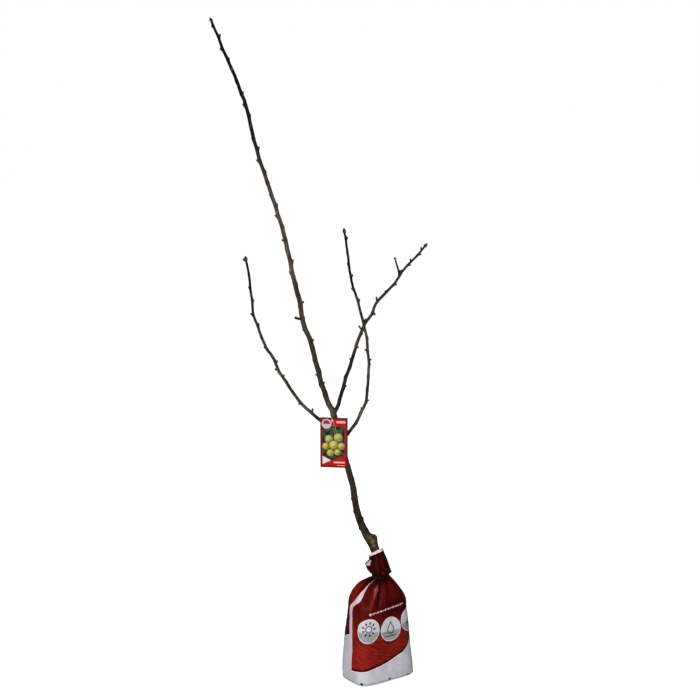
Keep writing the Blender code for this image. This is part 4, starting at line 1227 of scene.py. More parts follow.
def hole_distance(grid):
    """How far each point is from the edge of the nearest drain hole."""
    away = []
    for angle, above, radius in DRAIN_HOLES:
        for turn in (math.radians(angle), math.radians(angle) + math.pi):
            spot = bag_row(max(above * MM, BASE_EDGE), np.array([turn]), 0.0, above * MM)[0]
            away.append(np.linalg.norm(grid - spot, axis=-1) - radius * MM)
    return np.minimum.reduce(away)


def lift_rim(grid, around, angles, collar):
    """The collar's rim, wavy and tilted."""
    wave = 1.0 * MM * band_noise(around, np.zeros(BAG_COLUMNS), 7, 50)
    turned = angles + BAG_YAW
    rise = RIM_LIFT + RIM_SLANT * np.cos(turned) - RIM_TILT * np.sin(turned)
    grid[:, :, 2] += ramp(collar, 0.75, 1.0) * wave + ramp(collar, 0.3, 1.0) * rise


def above_foot(angles, height):
    """How far each point is above the edge of the panel's pale foot."""
    panel = np.degrees((angles - PANEL_START) % math.pi)
    panel = np.where(panel > 173, panel - 180, panel)
    points = np.array(FOOT_EDGE, float)
    edge = np.interp(panel, points[:, 0], points[:, 1]) * MM
    edge = np.convolve(np.concatenate([edge[-4:], edge, edge[:4]]), np.ones(5) / 5, "same")[4:-4]
    return height - edge[None, :]


def stripe_distance(grid, section, degrees):
    """How far each point is outside the side seam's pale stripe."""
    path = np.array(STRIPE_PATH, float)
    middle, half = (np.interp(section[:, 0] / MM, path[:, 0], path[:, column])[:, None] for column in (1, 2))
    apart = np.abs((degrees - middle + 90) % 180 - 90)
    radius = np.linalg.norm((grid - grid.mean(axis=1, keepdims=True))[..., :2], axis=-1)
    return np.radians(apart - half) * radius


def flap_patch(angles, collar):
    """Over 0 on the pale patch of the flap."""
    off_turn = np.abs(turn_between(angles + BAG_YAW, FLAP_PATCH_TURN))[None, :] / FLAP_PATCH_HALF_TURN
    return 1 - np.maximum(off_turn, np.abs(collar - FLAP_PATCH_SHARE) / FLAP_PATCH_HALF_SHARE)


def make_bag(stem):
    """The printed film: an outer skin with its relief, turned over the rim into an inner one."""
    angles = SEAM_ANGLE + ring_turns(BAG_COLUMNS)
    grid, section, level = bag_outline(stem, angles)
    rows = len(grid)
    share = np.arange(BAG_COLUMNS) / BAG_COLUMNS
    around = np.broadcast_to(share[None, :], (rows, BAG_COLUMNS))
    height = np.broadcast_to(section, (rows, BAG_COLUMNS))
    degrees = np.degrees(angles)[None, :] % 360
    collar = np.clip((section - TIE_Z) / COLLAR_HEIGHT, 0, 1)

    # Distance round the bag from the front panel's start, measured once at the middle of the discs
    level_row = bag_row(PRINT_LEVEL, np.append(angles, angles[0] + 2 * math.pi))
    walk = np.concatenate([[0], np.cumsum(np.linalg.norm(np.diff(level_row, axis=0), axis=1))])
    girth = walk[-1]
    seam = np.interp(PANEL_START - SEAM_ANGLE, angles - SEAM_ANGLE, walk[:-1])
    along = np.broadcast_to((walk[:-1] - seam)[None, :], (rows, BAG_COLUMNS))
    downhill = along * math.cos(SLANT) - height * math.sin(SLANT)
    across = along * math.sin(SLANT) + height * math.cos(SLANT)

    relief, crease = neck_relief(around, height, collar)
    relief = relief + body_relief(around, along, height, degrees, girth, downhill, across)
    relief = relief + LIP_REACH * MM * bell(level - LIP_LEVEL * MM, 1.2 * MM)
    relief = relief - GROOVE_DEPTH * MM * bell(level - GROOVE_LEVEL * MM, 1.1 * MM)
    hole = hole_distance(grid)
    relief = relief - HOLE_DENT * ramp(-hole, -HOLE_EDGE, HOLE_EDGE)
    relief[:FLAT_ROWS] = 0.0
    grid = grid + grid_normals(grid) * relief[..., None]
    grid[:, :, 2] = np.maximum(grid[:, :, 2], 0.0)
    lift_rim(grid, share, angles, collar)

    inner_rows = np.concatenate([np.arange(rows - 1, INNER_FINE_ROW, -1), np.arange(INNER_FINE_ROW, 6, -3)])
    values = {
        "print": np.stack(np.broadcast_arrays(along, height, level), axis=-1),
        "slant": np.stack([downhill * SLANT_STRETCH, across, 0 * height], axis=-1),
        "edge": above_foot(angles, height), "stripe": stripe_distance(grid, section, degrees),
        "rim": np.broadcast_to((1 - collar) * COLLAR_HEIGHT, height.shape), "hole": hole,
        "flap": flap_patch(angles, collar), "fold": relief / MM, "crease": crease,
    }
    values = {name: np.concatenate([value, value[inner_rows]]) for name, value in values.items()}
    inner = (grid - grid_normals(grid) * BAG_WALL)[inner_rows]
    skin = Skin(**{name: value.shape[2] if value.ndim == 3 else 1 for name, value in values.items()})
    skin.add(np.concatenate([grid, inner]), hidden_from=rows, **values)
    skin.build("bag_film_skin", film_look(girth / 2), "bag_film", ["bag"], sharp=80)


# Panel print: three pale discs with plain motifs, and a dot and a row of dashes above them, in millimetres
DISC_RADIUS = 32
FRONT_DISCS = [(48, 146), (115.5, 140), (181.5, 151)]
BACK_DISCS = [(40, 150), (101, 142), (160, 149)]
DISC_RIM = 2.4
LINE_WEIGHT = 1.25 * MM
# The low red is a lit copy of the red, painted where the film faces the light; the middle and high reds are
# darker towards the shoulder
LIT_RED, MIDDLE_RED, HIGH_RED = (0.27, 0.012, 0.009), (0.17, 0.006, 0.004), (0.085, 0.004, 0.003)
# The streak red is a painted sheen on the slanting wrinkles; the dark red is their painted shade and also
# random mottle
STREAK_SHEEN_RED, DARK_RED, FOLD_DARK = (0.33, 0.03, 0.018), (0.075, 0.002, 0.002), (0.015, 0.001, 0.001)
# Painted shade of the gathered neck and the crumpled collar
NECK_SHADE_REDS = ((0.045, 0.0015, 0.002), (0.02, 0.001, 0.001))
GUSSET_RED = (0.045, 0.003, 0.004)
# Painted highlights on fold ridges and crests, and painted shade in fold valleys and on the shaded shoulder
RIDGE_HIGHLIGHT_RED, CREST_HIGHLIGHT_RED, VALLEY_SHADE_RED = (0.22, 0.014, 0.01), (0.42, 0.1, 0.1), (0.026, 0.001, 0.001)
EDGE_DARK, EDGE_BLACK = 8.5 * MM, 3.4 * MM
# Painted glint pink and painted shade black of the collar's creases
CREASE_GLINT_PINK, CREASE_SHADE_BLACK = (0.3, 0.075, 0.07), (0.004, 0.001, 0.001)
GUSSET_START, GUSSET_FULL, GUSSET_TOP = 176 * MM, 188 * MM, 200 * MM
# The pale streak colour is painted shade of the wrinkles on the pale foot
PALE_FILM, PALE_SHADE, PALE_WRINKLE_SHADE = (0.6, 0.58, 0.645), (0.5, 0.49, 0.54), (0.41, 0.41, 0.445)
FOOT_LINE = (0.8, 0.63, 0.66)
STRIPE_COLOURS, STRIPE_LINE = ((0.74, 0.56, 0.59), (0.64, 0.5, 0.53)), (0.85, 0.56, 0.6)
FLAP_PINK, RIM_PINK, RIM_WIDTH = (0.66, 0.47, 0.5), (0.74, 0.62, 0.62), 6.2 * MM
# Painted shade: grey along the bottom rounding and in the groove, black in the dented drain holes
BOTTOM_SHADE_GREY, GROOVE_SHADE_GREY, HOLE_SHADE_BLACK = (0.1, 0.1, 0.11), (0.16, 0.16, 0.18), (0.004, 0.003, 0.002)
DISC_GROUND, DISC_SKY, DISC_BAND = (0.32, 0.32, 0.325), (0.58, 0.56, 0.61), (0.12, 0.12, 0.12)
DISC_LINES, DISC_RIM_PINK, LINE_PINK = (0.02, 0.018, 0.022), (0.78, 0.58, 0.61), (0.72, 0.45, 0.46)
LINE_START, LINE_END, LINE_HALF = (57, 190), (168, 199), 1.9
LINE_BEATS, LINE_SWELL = (8.7, 5.1), 13.7
DOT_BEFORE, DOT_RADIUS = 6.5 * MM, 3.8 * MM


def panel_red(look, x, z, half_way, streak, mottle):
    """The panel's red, darker towards the shoulder, with painted light: brighter low on the left and on the
    gussets' shoulders, sheen and shade along the wrinkles, and shade and highlights in the folds.
    """
    # Painted light: brighter low on the left of the panel, where the film turns to the light
    low = look.mix(x.from_to(15 * MM, 80 * MM), LIT_RED, MIDDLE_RED)
    red = look.mix(z.from_to(85 * MM, 180 * MM), low, HIGH_RED)
    # Painted sheen and shade of the slanting wrinkles: lighter streaks low down, darker streaks between
    red = look.mix(streak.from_to(0.42, 0.62) * z.from_to(190 * MM, 120 * MM) * 0.6, red, STREAK_SHEEN_RED)
    red = look.mix(streak.from_to(0.4, 0.25) * 0.6, red, DARK_RED)
    red = look.mix(mottle.from_to(0.35, 0.8) * 0.4, red, DARK_RED)
    gusset = x.from_to(GUSSET_START, GUSSET_FULL) * x.below(half_way)
    gusset = gusset.most((x - half_way).from_to(GUSSET_START, GUSSET_FULL))
    # Painted highlight: the gussets' shoulders in the lit red; below the shoulders a darker red
    red = look.mix(gusset * (mottle * 0.5 + 0.5), red, LIT_RED)
    red = look.mix(gusset * z.from_to(GUSSET_TOP, GUSSET_FULL) * 0.9, red, GUSSET_RED)
    shadow = x.from_to(80 * MM, 105 * MM) * z.from_to(155 * MM, 180 * MM) * z.from_to(225 * MM, 205 * MM)
    red = look.mix(shadow * 0.7, red, VALLEY_SHADE_RED)
    # Painted shade in the valleys of the shoulder folds
    fold, upper = look.value("fold"), z.from_to(175 * MM, 200 * MM)
    red = look.mix((-fold).from_to(0.8, 4.5) * upper, red, VALLEY_SHADE_RED)
    # Painted highlights on the ridges of the folds, pinker at the crests near the neck
    ridge = look.mix(z.from_to(228 * MM, 246 * MM), RIDGE_HIGHLIGHT_RED, CREST_HIGHLIGHT_RED)
    return look.mix(fold.from_to(1.8, 3.8) * upper * (streak * 0.8 + 0.4), red, ridge)


def film_look(half_way):
    """Glossy printed film: red panels, a pale foot and side stripes, and pale discs, with painted shade and
    highlights in its folds, creases, neck and bottom edge.
    """
    look = Look("film_printed", 0.45, 0.025)
    place = look.place("print")
    x, z, level = look.parts(place)
    edge, stripe, crease = (look.value(name) for name in ("edge", "stripe", "crease"))
    mottle = look.noise(place, 60.0, detail=4.0)
    streak = look.noise(look.place("slant"), 300.0, detail=3.0)
    colour = panel_red(look, x, z, half_way, streak, mottle)
    pale = look.mix(mottle.from_to(0.3, 0.7), PALE_FILM, PALE_SHADE)
    # Painted shade of the wrinkles on the pale foot, in darker streaks
    pale = look.mix(streak.from_to(0.45, 0.3) * 0.5, pale, PALE_WRINKLE_SHADE)
    colour = look.mix(edge.from_to(EDGE_DARK, EDGE_BLACK), colour, FOLD_DARK)
    colour = look.mix(edge.below(0.0), colour, pale)
    colour = look.mix((edge + 1.2 * MM).size().below(1.1 * MM), colour, FOOT_LINE)
    for start, discs in ((0.0, FRONT_DISCS), (half_way, BACK_DISCS)):
        colour = add_discs(look, colour, x - start, z, discs)
        colour = add_line(look, colour, x - start, z)
    # Painted shade: dark wine reds over the gathered neck and the collar
    neck = look.mix(mottle.from_to(0.35, 0.7), *NECK_SHADE_REDS)
    above = z.from_to(30 * MM, 38 * MM) * z.from_to(268 * MM, 262 * MM)
    band = look.mix(mottle.from_to(0.3, 0.7), *STRIPE_COLOURS)
    for share, laid_over in (
        (z.from_to(252 * MM, 263 * MM), neck),
        # Painted shade in the crease furrows and painted pink glints on their ridges
        ((-crease).from_to(0.1, 0.7), CREASE_SHADE_BLACK),
        (crease.from_to(0.3, 0.9) * 0.5, CREASE_GLINT_PINK),
        (stripe.from_to(2.6 * MM, 1.4 * MM) * edge.from_to(0.0, 1 * MM), FOLD_DARK),
        (stripe.below(0.0) * above, band),
        ((stripe + 0.5 * MM).size().below(0.6 * MM) * above, STRIPE_LINE),
        (look.value("flap").from_to(0.0, 0.12), FLAP_PINK),
        (look.value("rim").below(RIM_WIDTH, 0.8 * MM), RIM_PINK),
        # Painted shadow along the bottom rounding
        (level.from_to(3.2 * MM, 1.6 * MM) * level.from_to(0.0, 0.3 * MM), BOTTOM_SHADE_GREY),
        # Painted shade in the groove above the lip
        ((level - GROOVE_LEVEL * MM).size().below(0.9 * MM, 0.8 * MM) * 0.7, GROOVE_SHADE_GREY),
        # Drain holes painted black for the shade inside them
        (look.value("hole").below(0.0, 0.4 * MM), HOLE_SHADE_BLACK),
    ):
        colour = look.mix(share, colour, laid_over)
    fine = look.noise(place, 420.0, detail=3.0)
    return look.finish(colour, mottle.from_to(0.2, 0.9) * 0.16 + 0.36, fine * 0.4 + streak * 0.6, 0.2 * MM)


def add_discs(look, colour, x, z, places):
    for number, (middle_x, middle_z) in enumerate(places):
        dx, dz = x - middle_x * MM, z - middle_z * MM
        away = dx.length(dz)
        ground = (dz + (dx * (1 / (11 * MM))).reckon("SINE") * 0.8 * MM).from_to(-3.0 * MM, -6.0 * MM)
        face = look.mix(ground, DISC_SKY, DISC_GROUND)
        band = look.noise(look.place("slant"), 420.0, detail=2.0).from_to(0.5, 0.62)
        face = look.mix(band * (ground * 0.5 + 0.15), face, DISC_BAND)
        face = look.mix(disc_motif(number, dx, dz), face, DISC_LINES)
        colour = look.mix(away.from_to((DISC_RADIUS + 2.8) * MM, (DISC_RADIUS + 1.2) * MM), colour, FOLD_DARK)
        colour = look.mix(away.below(DISC_RADIUS * MM, 0.3 * MM), colour, DISC_RIM_PINK)
        colour = look.mix(away.below((DISC_RADIUS - DISC_RIM) * MM, 0.3 * MM), colour, face)
    return colour


def disc_motif(number, dx, dz):
    """A sun with its rays, a drop over a line of ground, or a leaf: 1 on its lines."""
    if number == 0:
        away = dx.length(dz - 5 * MM)
        angle = (dz - 5 * MM).reckon("ARCTAN2", dx)
        ray = (angle * 9.0).reckon("COSINE").from_to(0.3, 0.45)
        rays = ray * away.from_to(12 * MM, 12.4 * MM) * away.below(19.5 * MM)
        disc = (away - 8.5 * MM).size().below(LINE_WEIGHT)
        return rays.most(disc)
    if number == 1:
        low = dx.length(dz + 1 * MM) - 10 * MM
        cone = (dx.size() * 0.86 + (dz + 1 * MM) * 0.5) - 10 * MM
        drop = low.least(cone.most((dz + 1 * MM) * -1.0 + 2.5 * MM))
        ripples = (dz + 18 * MM).size().below(LINE_WEIGHT) * dx.size().below(15 * MM)
        return drop.size().below(LINE_WEIGHT).most(ripples)
    along, across = dx * 0.8 + dz * 0.6, dz * 0.8 - dx * 0.6
    lower = along.length(across - 11 * MM) - 17 * MM
    upper = along.length(across + 11 * MM) - 17 * MM
    leaf = lower.most(upper)
    rib = across.size().below(0.8 * MM) * along.size().below(17 * MM)
    return leaf.size().below(LINE_WEIGHT).most(rib)


def add_line(look, colour, x, z):
    """A pale dot and a row of pale dashes of uneven length and height above the discs. They spell nothing."""
    (x1, z1), (x2, z2) = LINE_START, LINE_END
    run = math.hypot(x2 - x1, z2 - z1)
    ux, uz = (x2 - x1) / run, (z2 - z1) / run
    along = (x - x1 * MM) * ux + (z - z1 * MM) * uz
    across = (z - z1 * MM) * ux - (x - x1 * MM) * uz
    waves = [(along * (2 * math.pi / (length * MM))).reckon("SINE") for length in (*LINE_BEATS, LINE_SWELL)]
    line = (across.size() - waves[2] * 0.5 * MM).below(LINE_HALF * MM)
    line = line * (along - run / 2 * MM).size().below(run / 2 * MM)
    dot = (along + DOT_BEFORE).length(across).below(DOT_RADIUS)
    return look.mix((line * (waves[0] + waves[1]).from_to(-0.75, -0.5)).most(dot), colour, LINE_PINK)


def mottled_look(name, roughness, specular, pattern, colours, bump=None, depth=0.1 * MM):
    """A material that wanders between two colours by a noise of this scale, detail and share of each."""
    look = Look(name, roughness, specular)
    place = look.place("grain")
    scale, detail, start, end = pattern
    colour = look.mix(look.noise(place, scale, detail).from_to(start, end), *colours)
    return look.finish(colour, None, bump and look.noise(place, bump), depth)


PEAT_COLUMNS, PEAT_ROWS, DOME_ROWS = 120, 50, 24
PEAT_LOW, PEAT_WIDE, PEAT_TOP = 8 * MM, 155 * MM, 212 * MM


def make_root_ball():
    """Peat inside the bag, crumbly where the drain holes and the neck let it show."""
    skin = Skin(grain=3)
    angles = ring_turns(PEAT_COLUMNS)
    rows = [bag_row(BASE_EDGE, angles, 8 * MM, 2.5 * MM, share) for share in (0.05, 0.5, 1.0)]
    rows += [bag_row(height, angles, 4 * MM) for height in np.linspace(PEAT_LOW, PEAT_WIDE, PEAT_ROWS)]
    widest = rows[-1]
    middle = widest.mean(axis=0)
    for step in range(1, DOME_ROWS + 1):
        turn = math.pi / 2 * step / DOME_ROWS
        share, rise = 0.5 + 0.5 * math.cos(turn), (PEAT_TOP - PEAT_WIDE) * math.sin(turn)
        rows.append(middle + (widest - middle) * share + np.array((0, 0, rise)))
    rows += [middle + (rows[-1] - middle) * np.array((share, share, 1)) for share in (0.7, 0.4, 0.1)]
    grid = np.array(rows)
    around = np.broadcast_to(np.arange(PEAT_COLUMNS)[None, :] / PEAT_COLUMNS, grid.shape[:2])
    height = grid[..., 2]
    crumb = film_noise(around, height, 4, 110, 61) + film_noise(around, height, 11, 40, 62)
    grid = grid + grid_normals(grid) * (0.9 * MM * crumb - 1.2 * MM)[..., None]
    skin.add(grid, grain=grid)
    browns = (0.02, 0.012, 0.008), (0.08, 0.05, 0.032)
    look = mottled_look("peat_crumbly", 0.95, 0.2, (260.0, 5.0, 0.35, 0.7), browns, 700.0, 0.8 * MM)
    skin.build("root_ball_peat", look, "peat", ["root_ball"])


WIRE_HELPER = np.array((0.31, 0.62, 0.72))


def add_wire(skin, centres, radius, columns):
    """A wire or thread along a line of points."""
    ahead = unit(np.gradient(centres, axis=0))
    frames = [unit(np.cross(ahead[0], WIRE_HELPER))]
    for heading in ahead[1:]:
        frames.append(unit(frames[-1] - heading * heading.dot(frames[-1])))
    across = np.array(frames)
    rows = centres[:, None] + ring_of(across, np.cross(ahead, across), ring_turns(columns)) * radius
    skin.add(rows, grain=rows)


def curve_through(points, step):
    """Evenly spaced points on the smooth curve through a few points, in metres."""
    limb = Limb("line", points, [(0, 1)])
    count = max(3, round(limb.length / step))
    return limb.at(np.linspace(0, limb.length, count + 1))


def twisted(centres, radius, turns, phase):
    """One of two strands that wind round a line of points."""
    ahead = unit(np.gradient(centres, axis=0))
    across = unit(np.cross(ahead, WIRE_HELPER))
    over = np.cross(ahead, across)
    turn = phase + 2 * math.pi * turns * np.linspace(0, 1, len(centres))
    return centres + radius * (across * np.cos(turn)[:, None] + over * np.sin(turn)[:, None])


def make_tie():
    """Coated wire wound twice round the neck, with its ends twisted together."""
    skin = Skin(grain=3)
    centre = NECK_CENTRE + np.array((0, 0, TIE_Z))
    turn = ring_turns(180)
    for lift, phase in ((TIE_RING_LIFT, 0.0), (-TIE_RING_LIFT, 2.1)):
        up = lift * MM + 0.35 * MM * np.sin(3 * turn + phase)
        reach = TIE_RING_RADIUS + 0.25 * MM * np.cos(5 * turn + phase)
        ring = centre + np.stack([np.cos(turn) * reach, np.sin(turn) * reach, up], axis=1)
        add_wire(skin, np.concatenate([ring, ring[:1]]), TIE_RING_WIRE, 10)
    route = curve_through(TIE_TWIST_ROUTE, 0.4 * MM)
    for phase in (0.0, math.pi):
        add_wire(skin, twisted(route, TIE_TWIST_RADIUS, TIE_TWIST_TURNS, phase), TIE_TWIST_WIRE, 10)
    reds = (0.01, 0.001, 0.001), (0.03, 0.003, 0.003)
    look = mottled_look("tie_wire_coated", 0.6, 0.08, (500.0, 3.0, 0.4, 0.75), reds, 1500.0)
    skin.build("bag_tie_wire", look, "tie_wire", ["bag_tie"])


def make_thread():
    """Thin elastic thread through the label's hole and round the fork, with two loose tails."""
    skin = Skin(grain=3)
    loop = curve_through(THREAD_ROUTE, 0.5 * MM)
    for phase in (0.0, math.pi):
        add_wire(skin, twisted(loop, THREAD_TWIST_RADIUS, THREAD_TWIST_TURNS, phase), STRAND_RADIUS, 7)
    for tail in THREAD_TAILS:
        add_wire(skin, curve_through(tail, 0.5 * MM), TAIL_RADIUS, 8)
    add_wire(skin, curve_through(THREAD_KNOT, 0.4 * MM), KNOT_RADIUS, 9)
    pinks = (0.55, 0.3, 0.28), (0.75, 0.55, 0.52)
    look = mottled_look("thread_elastic", 0.55, 0.5, (1800.0, 3.0, 0.4, 0.7), pinks)
    skin.build("label_thread_loop", look, "label_thread", ["label_thread"])
LABEL_EDGE = 0.15 * MM
LABEL_CUT = 4 * MM
LABEL_CURL, LABEL_TWIST = 1.6 * MM, 1.2 * MM
HOLE_SIDES = 28


def rounded_rectangle(width, height, corner, steps=6):
    outline = []
    for quarter, (across, up) in enumerate(((1, -1), (1, 1), (-1, 1), (-1, -1))):
        middle = Vector((across * (width / 2 - corner), up * (height / 2 - corner)))
        for step in range(steps + 1):
            angle = math.pi / 2 * (quarter - 1 + step / steps)
            outline.append(middle + corner * Vector((math.cos(angle), math.sin(angle))))
    return outline


CARD_TILE = 0.55
CARD_FLARE, HOLE_DRAW = 0.03, 0.5


def lay_out_card(card):
    """Places on the map for baking: the front with its edges spread round it, and the back beside it."""
    for name in card.loops.layers.uv.keys():
        card.loops.layers.uv.remove(card.loops.layers.uv[name])
    layer = card.loops.layers.uv.new(MAP_NAME)
    size = Vector((LABEL_WIDTH, LABEL_HEIGHT)) * (1 + 2 * CARD_FLARE)
    for face in card.faces:
        behind = face.normal.z < -0.9
        for loop in face.loops:
            spot = loop.vert.co.xy
            depth = 0.5 - loop.vert.co.z / LABEL_THICKNESS
            from_hole = spot - HOLE_OFFSET
            if behind:
                spot = Vector((-spot.x, spot.y))
            elif from_hole.length < HOLE_RADIUS + 2 * LABEL_EDGE:
                spot = HOLE_OFFSET + from_hole * (1 - HOLE_DRAW * depth)
            else:
                spot = spot * (1 + CARD_FLARE * depth)
            u, v = 0.5 + spot.x / size.x, 0.5 + spot.y / size.y
            loop[layer].uv = (CARD_TILE + u * (1 - CARD_TILE) if behind else u * CARD_TILE, v)


def card_outline():
    """The flat card with its rounded corners, punched hole and softened edges, cut into small squares."""
    curve = bpy.data.curves.new("label_outline", "CURVE")
    curve.dimensions = "2D"
    curve.fill_mode = "BOTH"
    curve.extrude = LABEL_THICKNESS / 2 - LABEL_EDGE
    curve.bevel_depth = LABEL_EDGE
    curve.bevel_resolution = 1
    curve.offset = -LABEL_EDGE
    turns = [2 * math.pi * index / HOLE_SIDES for index in range(HOLE_SIDES)]
    hole = [HOLE_OFFSET + HOLE_RADIUS * Vector((math.cos(turn), math.sin(turn))) for turn in turns]
    for outline in (rounded_rectangle(LABEL_WIDTH, LABEL_HEIGHT, LABEL_CORNER), hole):
        spline = curve.splines.new("POLY")
        spline.points.add(len(outline) - 1)
        spline.use_cyclic_u = True
        for spline_point, point in zip(spline.points, outline):
            spline_point.co = (*point, 0.0, 1.0)
    guide = bpy.data.objects.new("label_outline", curve)
    bpy.context.scene.collection.objects.link(guide)
    bpy.context.view_layer.update()
    mesh = bpy.data.meshes.new_from_object(guide.evaluated_get(bpy.context.evaluated_depsgraph_get()))
    bpy.data.objects.remove(guide, do_unlink=True)
    card = bmesh.new()
    card.from_mesh(mesh)
    bmesh.ops.remove_doubles(card, verts=card.verts, dist=0.005 * MM)
    for axis, size in ((0, LABEL_WIDTH), (1, LABEL_HEIGHT)):
        count = int(size / LABEL_CUT)
        for index in range(1, count):
            spot, normal = Vector(), Vector()
            spot[axis] = -size / 2 + size * index / count
            normal[axis] = 1
            geometry = card.verts[:] + card.edges[:] + card.faces[:]
            bmesh.ops.bisect_plane(card, geom=geometry, dist=0.002 * MM, plane_co=spot, plane_no=normal)
    bmesh.ops.recalc_face_normals(card, faces=card.faces)
    return mesh, card


def make_label():
    """A thin card with a punched hole, curled a little, printed on both faces."""
    mesh, card = card_outline()
    lay_out_card(card)
    place = card.verts.layers.float_vector.new("card")
    stand = Matrix.Rotation(-LABEL_YAW, 4, "Z") @ Matrix.Rotation(math.pi / 2, 4, "X")
    stand = Matrix.Translation(LABEL_CENTRE) @ stand
    for vert in card.verts:
        x, y, z = vert.co
        vert[place] = (x, y, z)
        curl = LABEL_CURL * (math.cos(math.pi * y / LABEL_HEIGHT) - 0.4) * 0.5
        twist = LABEL_TWIST * (x / LABEL_WIDTH) * (y / LABEL_HEIGHT)
        vert.co = stand @ Vector((x, y, z + curl + twist))
    card.to_mesh(mesh)
    card.free()
    mesh.materials.clear()
    mesh.materials.append(label_look())
    mesh.shade_smooth()
    mesh.set_sharp_from_angle(angle=math.radians(30))
    dress("label_printed", mesh, ["label"])


# Label print, in millimetres from the card's middle
PANEL_LEFT, PANEL_RIGHT, PANEL_TOP = -30, 27.4, 42
PANEL_POINT = (-7, -46.5)
FOOT_SLOPES = (-0.53, 0.46)
FLAG_SLOPE = 0.48
FRUITS = [
    (11, 13, 11.5), (-13, 9, 10.5), (-21, -10, 9.5), (0, -7, 12.5), (19, -9, 9.5),
    (-9, -27, 9.5), (9, -25, 8.5),
]
FRUIT_COLOURS = [(0.62, 0.55, 0.13), (0.55, 0.54, 0.17), (0.64, 0.5, 0.12)]
LEAVES = [
    (-16, 31, 15, 28), (6, 34, 15, 165), (21, 30, 14, 75), (-24, 22, 11, 110), (22, 6, 11, 100),
    (-26, -24, 10, 55), (20, -24, 10, 130), (-4, 25, 9, 95), (-3, -38, 8, 10),
]
BARS = [(17.9, 54, 11.6, 2.9), (13.5, -51.5, 14.2, 2.4), (18, -59.5, 9.7, 0.9)]
BADGE = (-19.2, 48.8)
BADGE_RADIUS, BADGE_LINE, BADGE_FACE = 12.7 * MM, 11.6 * MM, 9.4 * MM
FRAME_HALVES = (31.2, 61.4)
HOLE_EDGE_RADIUS = 3.1 * MM
CARD_REDS = ((0.35, 0.009, 0.007), (0.23, 0.005, 0.004))
FRAME_RED = (0.1, 0.004, 0.004)
HOLE_RED = (0.2, 0.008, 0.01)
GROUND_GREENS = ((0.003, 0.005, 0.003), (0.017, 0.03, 0.009))
LEAF_GREENS = ((0.004, 0.01, 0.007), (0.035, 0.06, 0.02))
RIB_GREEN = (0.09, 0.14, 0.06)
FLAG_PINK = (0.66, 0.55, 0.58)
BAR_PINK = (0.72, 0.3, 0.28)
BADGE_PINK = (0.62, 0.47, 0.47)
BADGE_RED = (0.34, 0.12, 0.13)
BADGE_HALVES = ((0.42, 0.4, 0.43), (0.16, 0.02, 0.03))
PAPERS = ((0.62, 0.6, 0.58), (0.54, 0.52, 0.5))
PAPER_LINES = (0.2, 0.2, 0.2)
PAPER_RED = (0.42, 0.015, 0.02)
FRUIT_SHADE = (0.13, 0.115, 0.012)
FRUIT_SPECKLE = (0.3, 0.25, 0.05)
FRUIT_OUTLINE = (0.012, 0.012, 0.004)
CALYX_BROWN = (0.09, 0.055, 0.014)


def box_distance(x, y, middle_x, middle_y, half_width, half_height):
    dx = (x - middle_x * MM).size() - half_width * MM
    dy = (y - middle_y * MM).size() - half_height * MM
    return dx.most(dy)


def above_line(x, y, point, slope):
    """How far a place is above the line through a point, more or less."""
    return (y - point[1] * MM) - (x - point[0] * MM) * slope


def label_look():
    """A red plant label: a blank badge, a plain drawing of round fruit among leaves, and pale bars."""
    look = Look("card_printed", 0.5, 0.06)
    place = look.place("card")
    x, y, z = look.parts(place)
    mottle = look.noise(place, 90.0, detail=4.0)
    red = look.mix(mottle.from_to(0.3, 0.75), *CARD_REDS)
    front = look.mix(box_distance(x, y, 0, 0, *FRAME_HALVES).below(0.0, 1.6 * MM), FRAME_RED, red)
    foliage = look.noise(place, 150.0, detail=5.0, distortion=0.6).from_to(0.35, 0.7)
    picture = add_picture(look, look.mix(foliage, *GROUND_GREENS), x, y)
    middle = (PANEL_LEFT + PANEL_RIGHT) / 2
    panel = box_distance(x, y, middle, PANEL_TOP - 50, (PANEL_RIGHT - PANEL_LEFT) / 2, 50)
    falling, rising = (above_line(x, y, PANEL_POINT, slope) for slope in FOOT_SLOPES)
    panel = panel.most(-falling).most(-rising)
    front = look.mix(panel.below(0.0), front, picture)
    flag = falling.most(-above_line(x, y, PANEL_POINT, FLAG_SLOPE)).most((x - PANEL_LEFT * MM) * -1.0)
    front = look.mix((flag + 0.5 * MM).below(0.0), front, FLAG_PINK)
    for bar in BARS:
        front = look.mix(box_distance(x, y, *bar).below(0.0, 0.8 * MM), front, BAR_PINK)
    badge_x, badge_y = x - BADGE[0] * MM, y - BADGE[1] * MM
    badge = badge_x.length(badge_y)
    front = look.mix(badge.below(BADGE_RADIUS), front, BADGE_PINK)
    front = look.mix((badge - BADGE_LINE).size().below(0.4 * MM), front, BADGE_RED)
    face = look.mix(badge_y.from_to(-1.5 * MM, 1.0 * MM), *BADGE_HALVES)
    front = look.mix(badge.below(BADGE_FACE), front, face)
    hole_rim = (x - HOLE_OFFSET[0]).length(y - HOLE_OFFSET[1])
    front = look.mix(hole_rim.below(HOLE_EDGE_RADIUS), front, HOLE_RED)
    paper = look.mix(mottle.from_to(0.3, 0.7), *PAPERS)
    lines = (y.reckon("MULTIPLY", 1.0 / (6 * MM)).reckon("FRACT") - 0.5).size().below(0.1, 0.04)
    lines = lines * x.size().below(24 * MM) * (y + 6 * MM).size().below(38 * MM)
    back = look.mix(lines, paper, PAPER_LINES)
    back = look.mix((y - 48 * MM).size().below(7 * MM), back, PAPER_RED)
    colour = look.mix(z.from_to(-0.05 * MM, 0.05 * MM), back, front)
    return look.finish(colour, mottle.from_to(0.2, 0.9) * 0.12 + 0.44, look.noise(place, 900.0), 0.03 * MM)


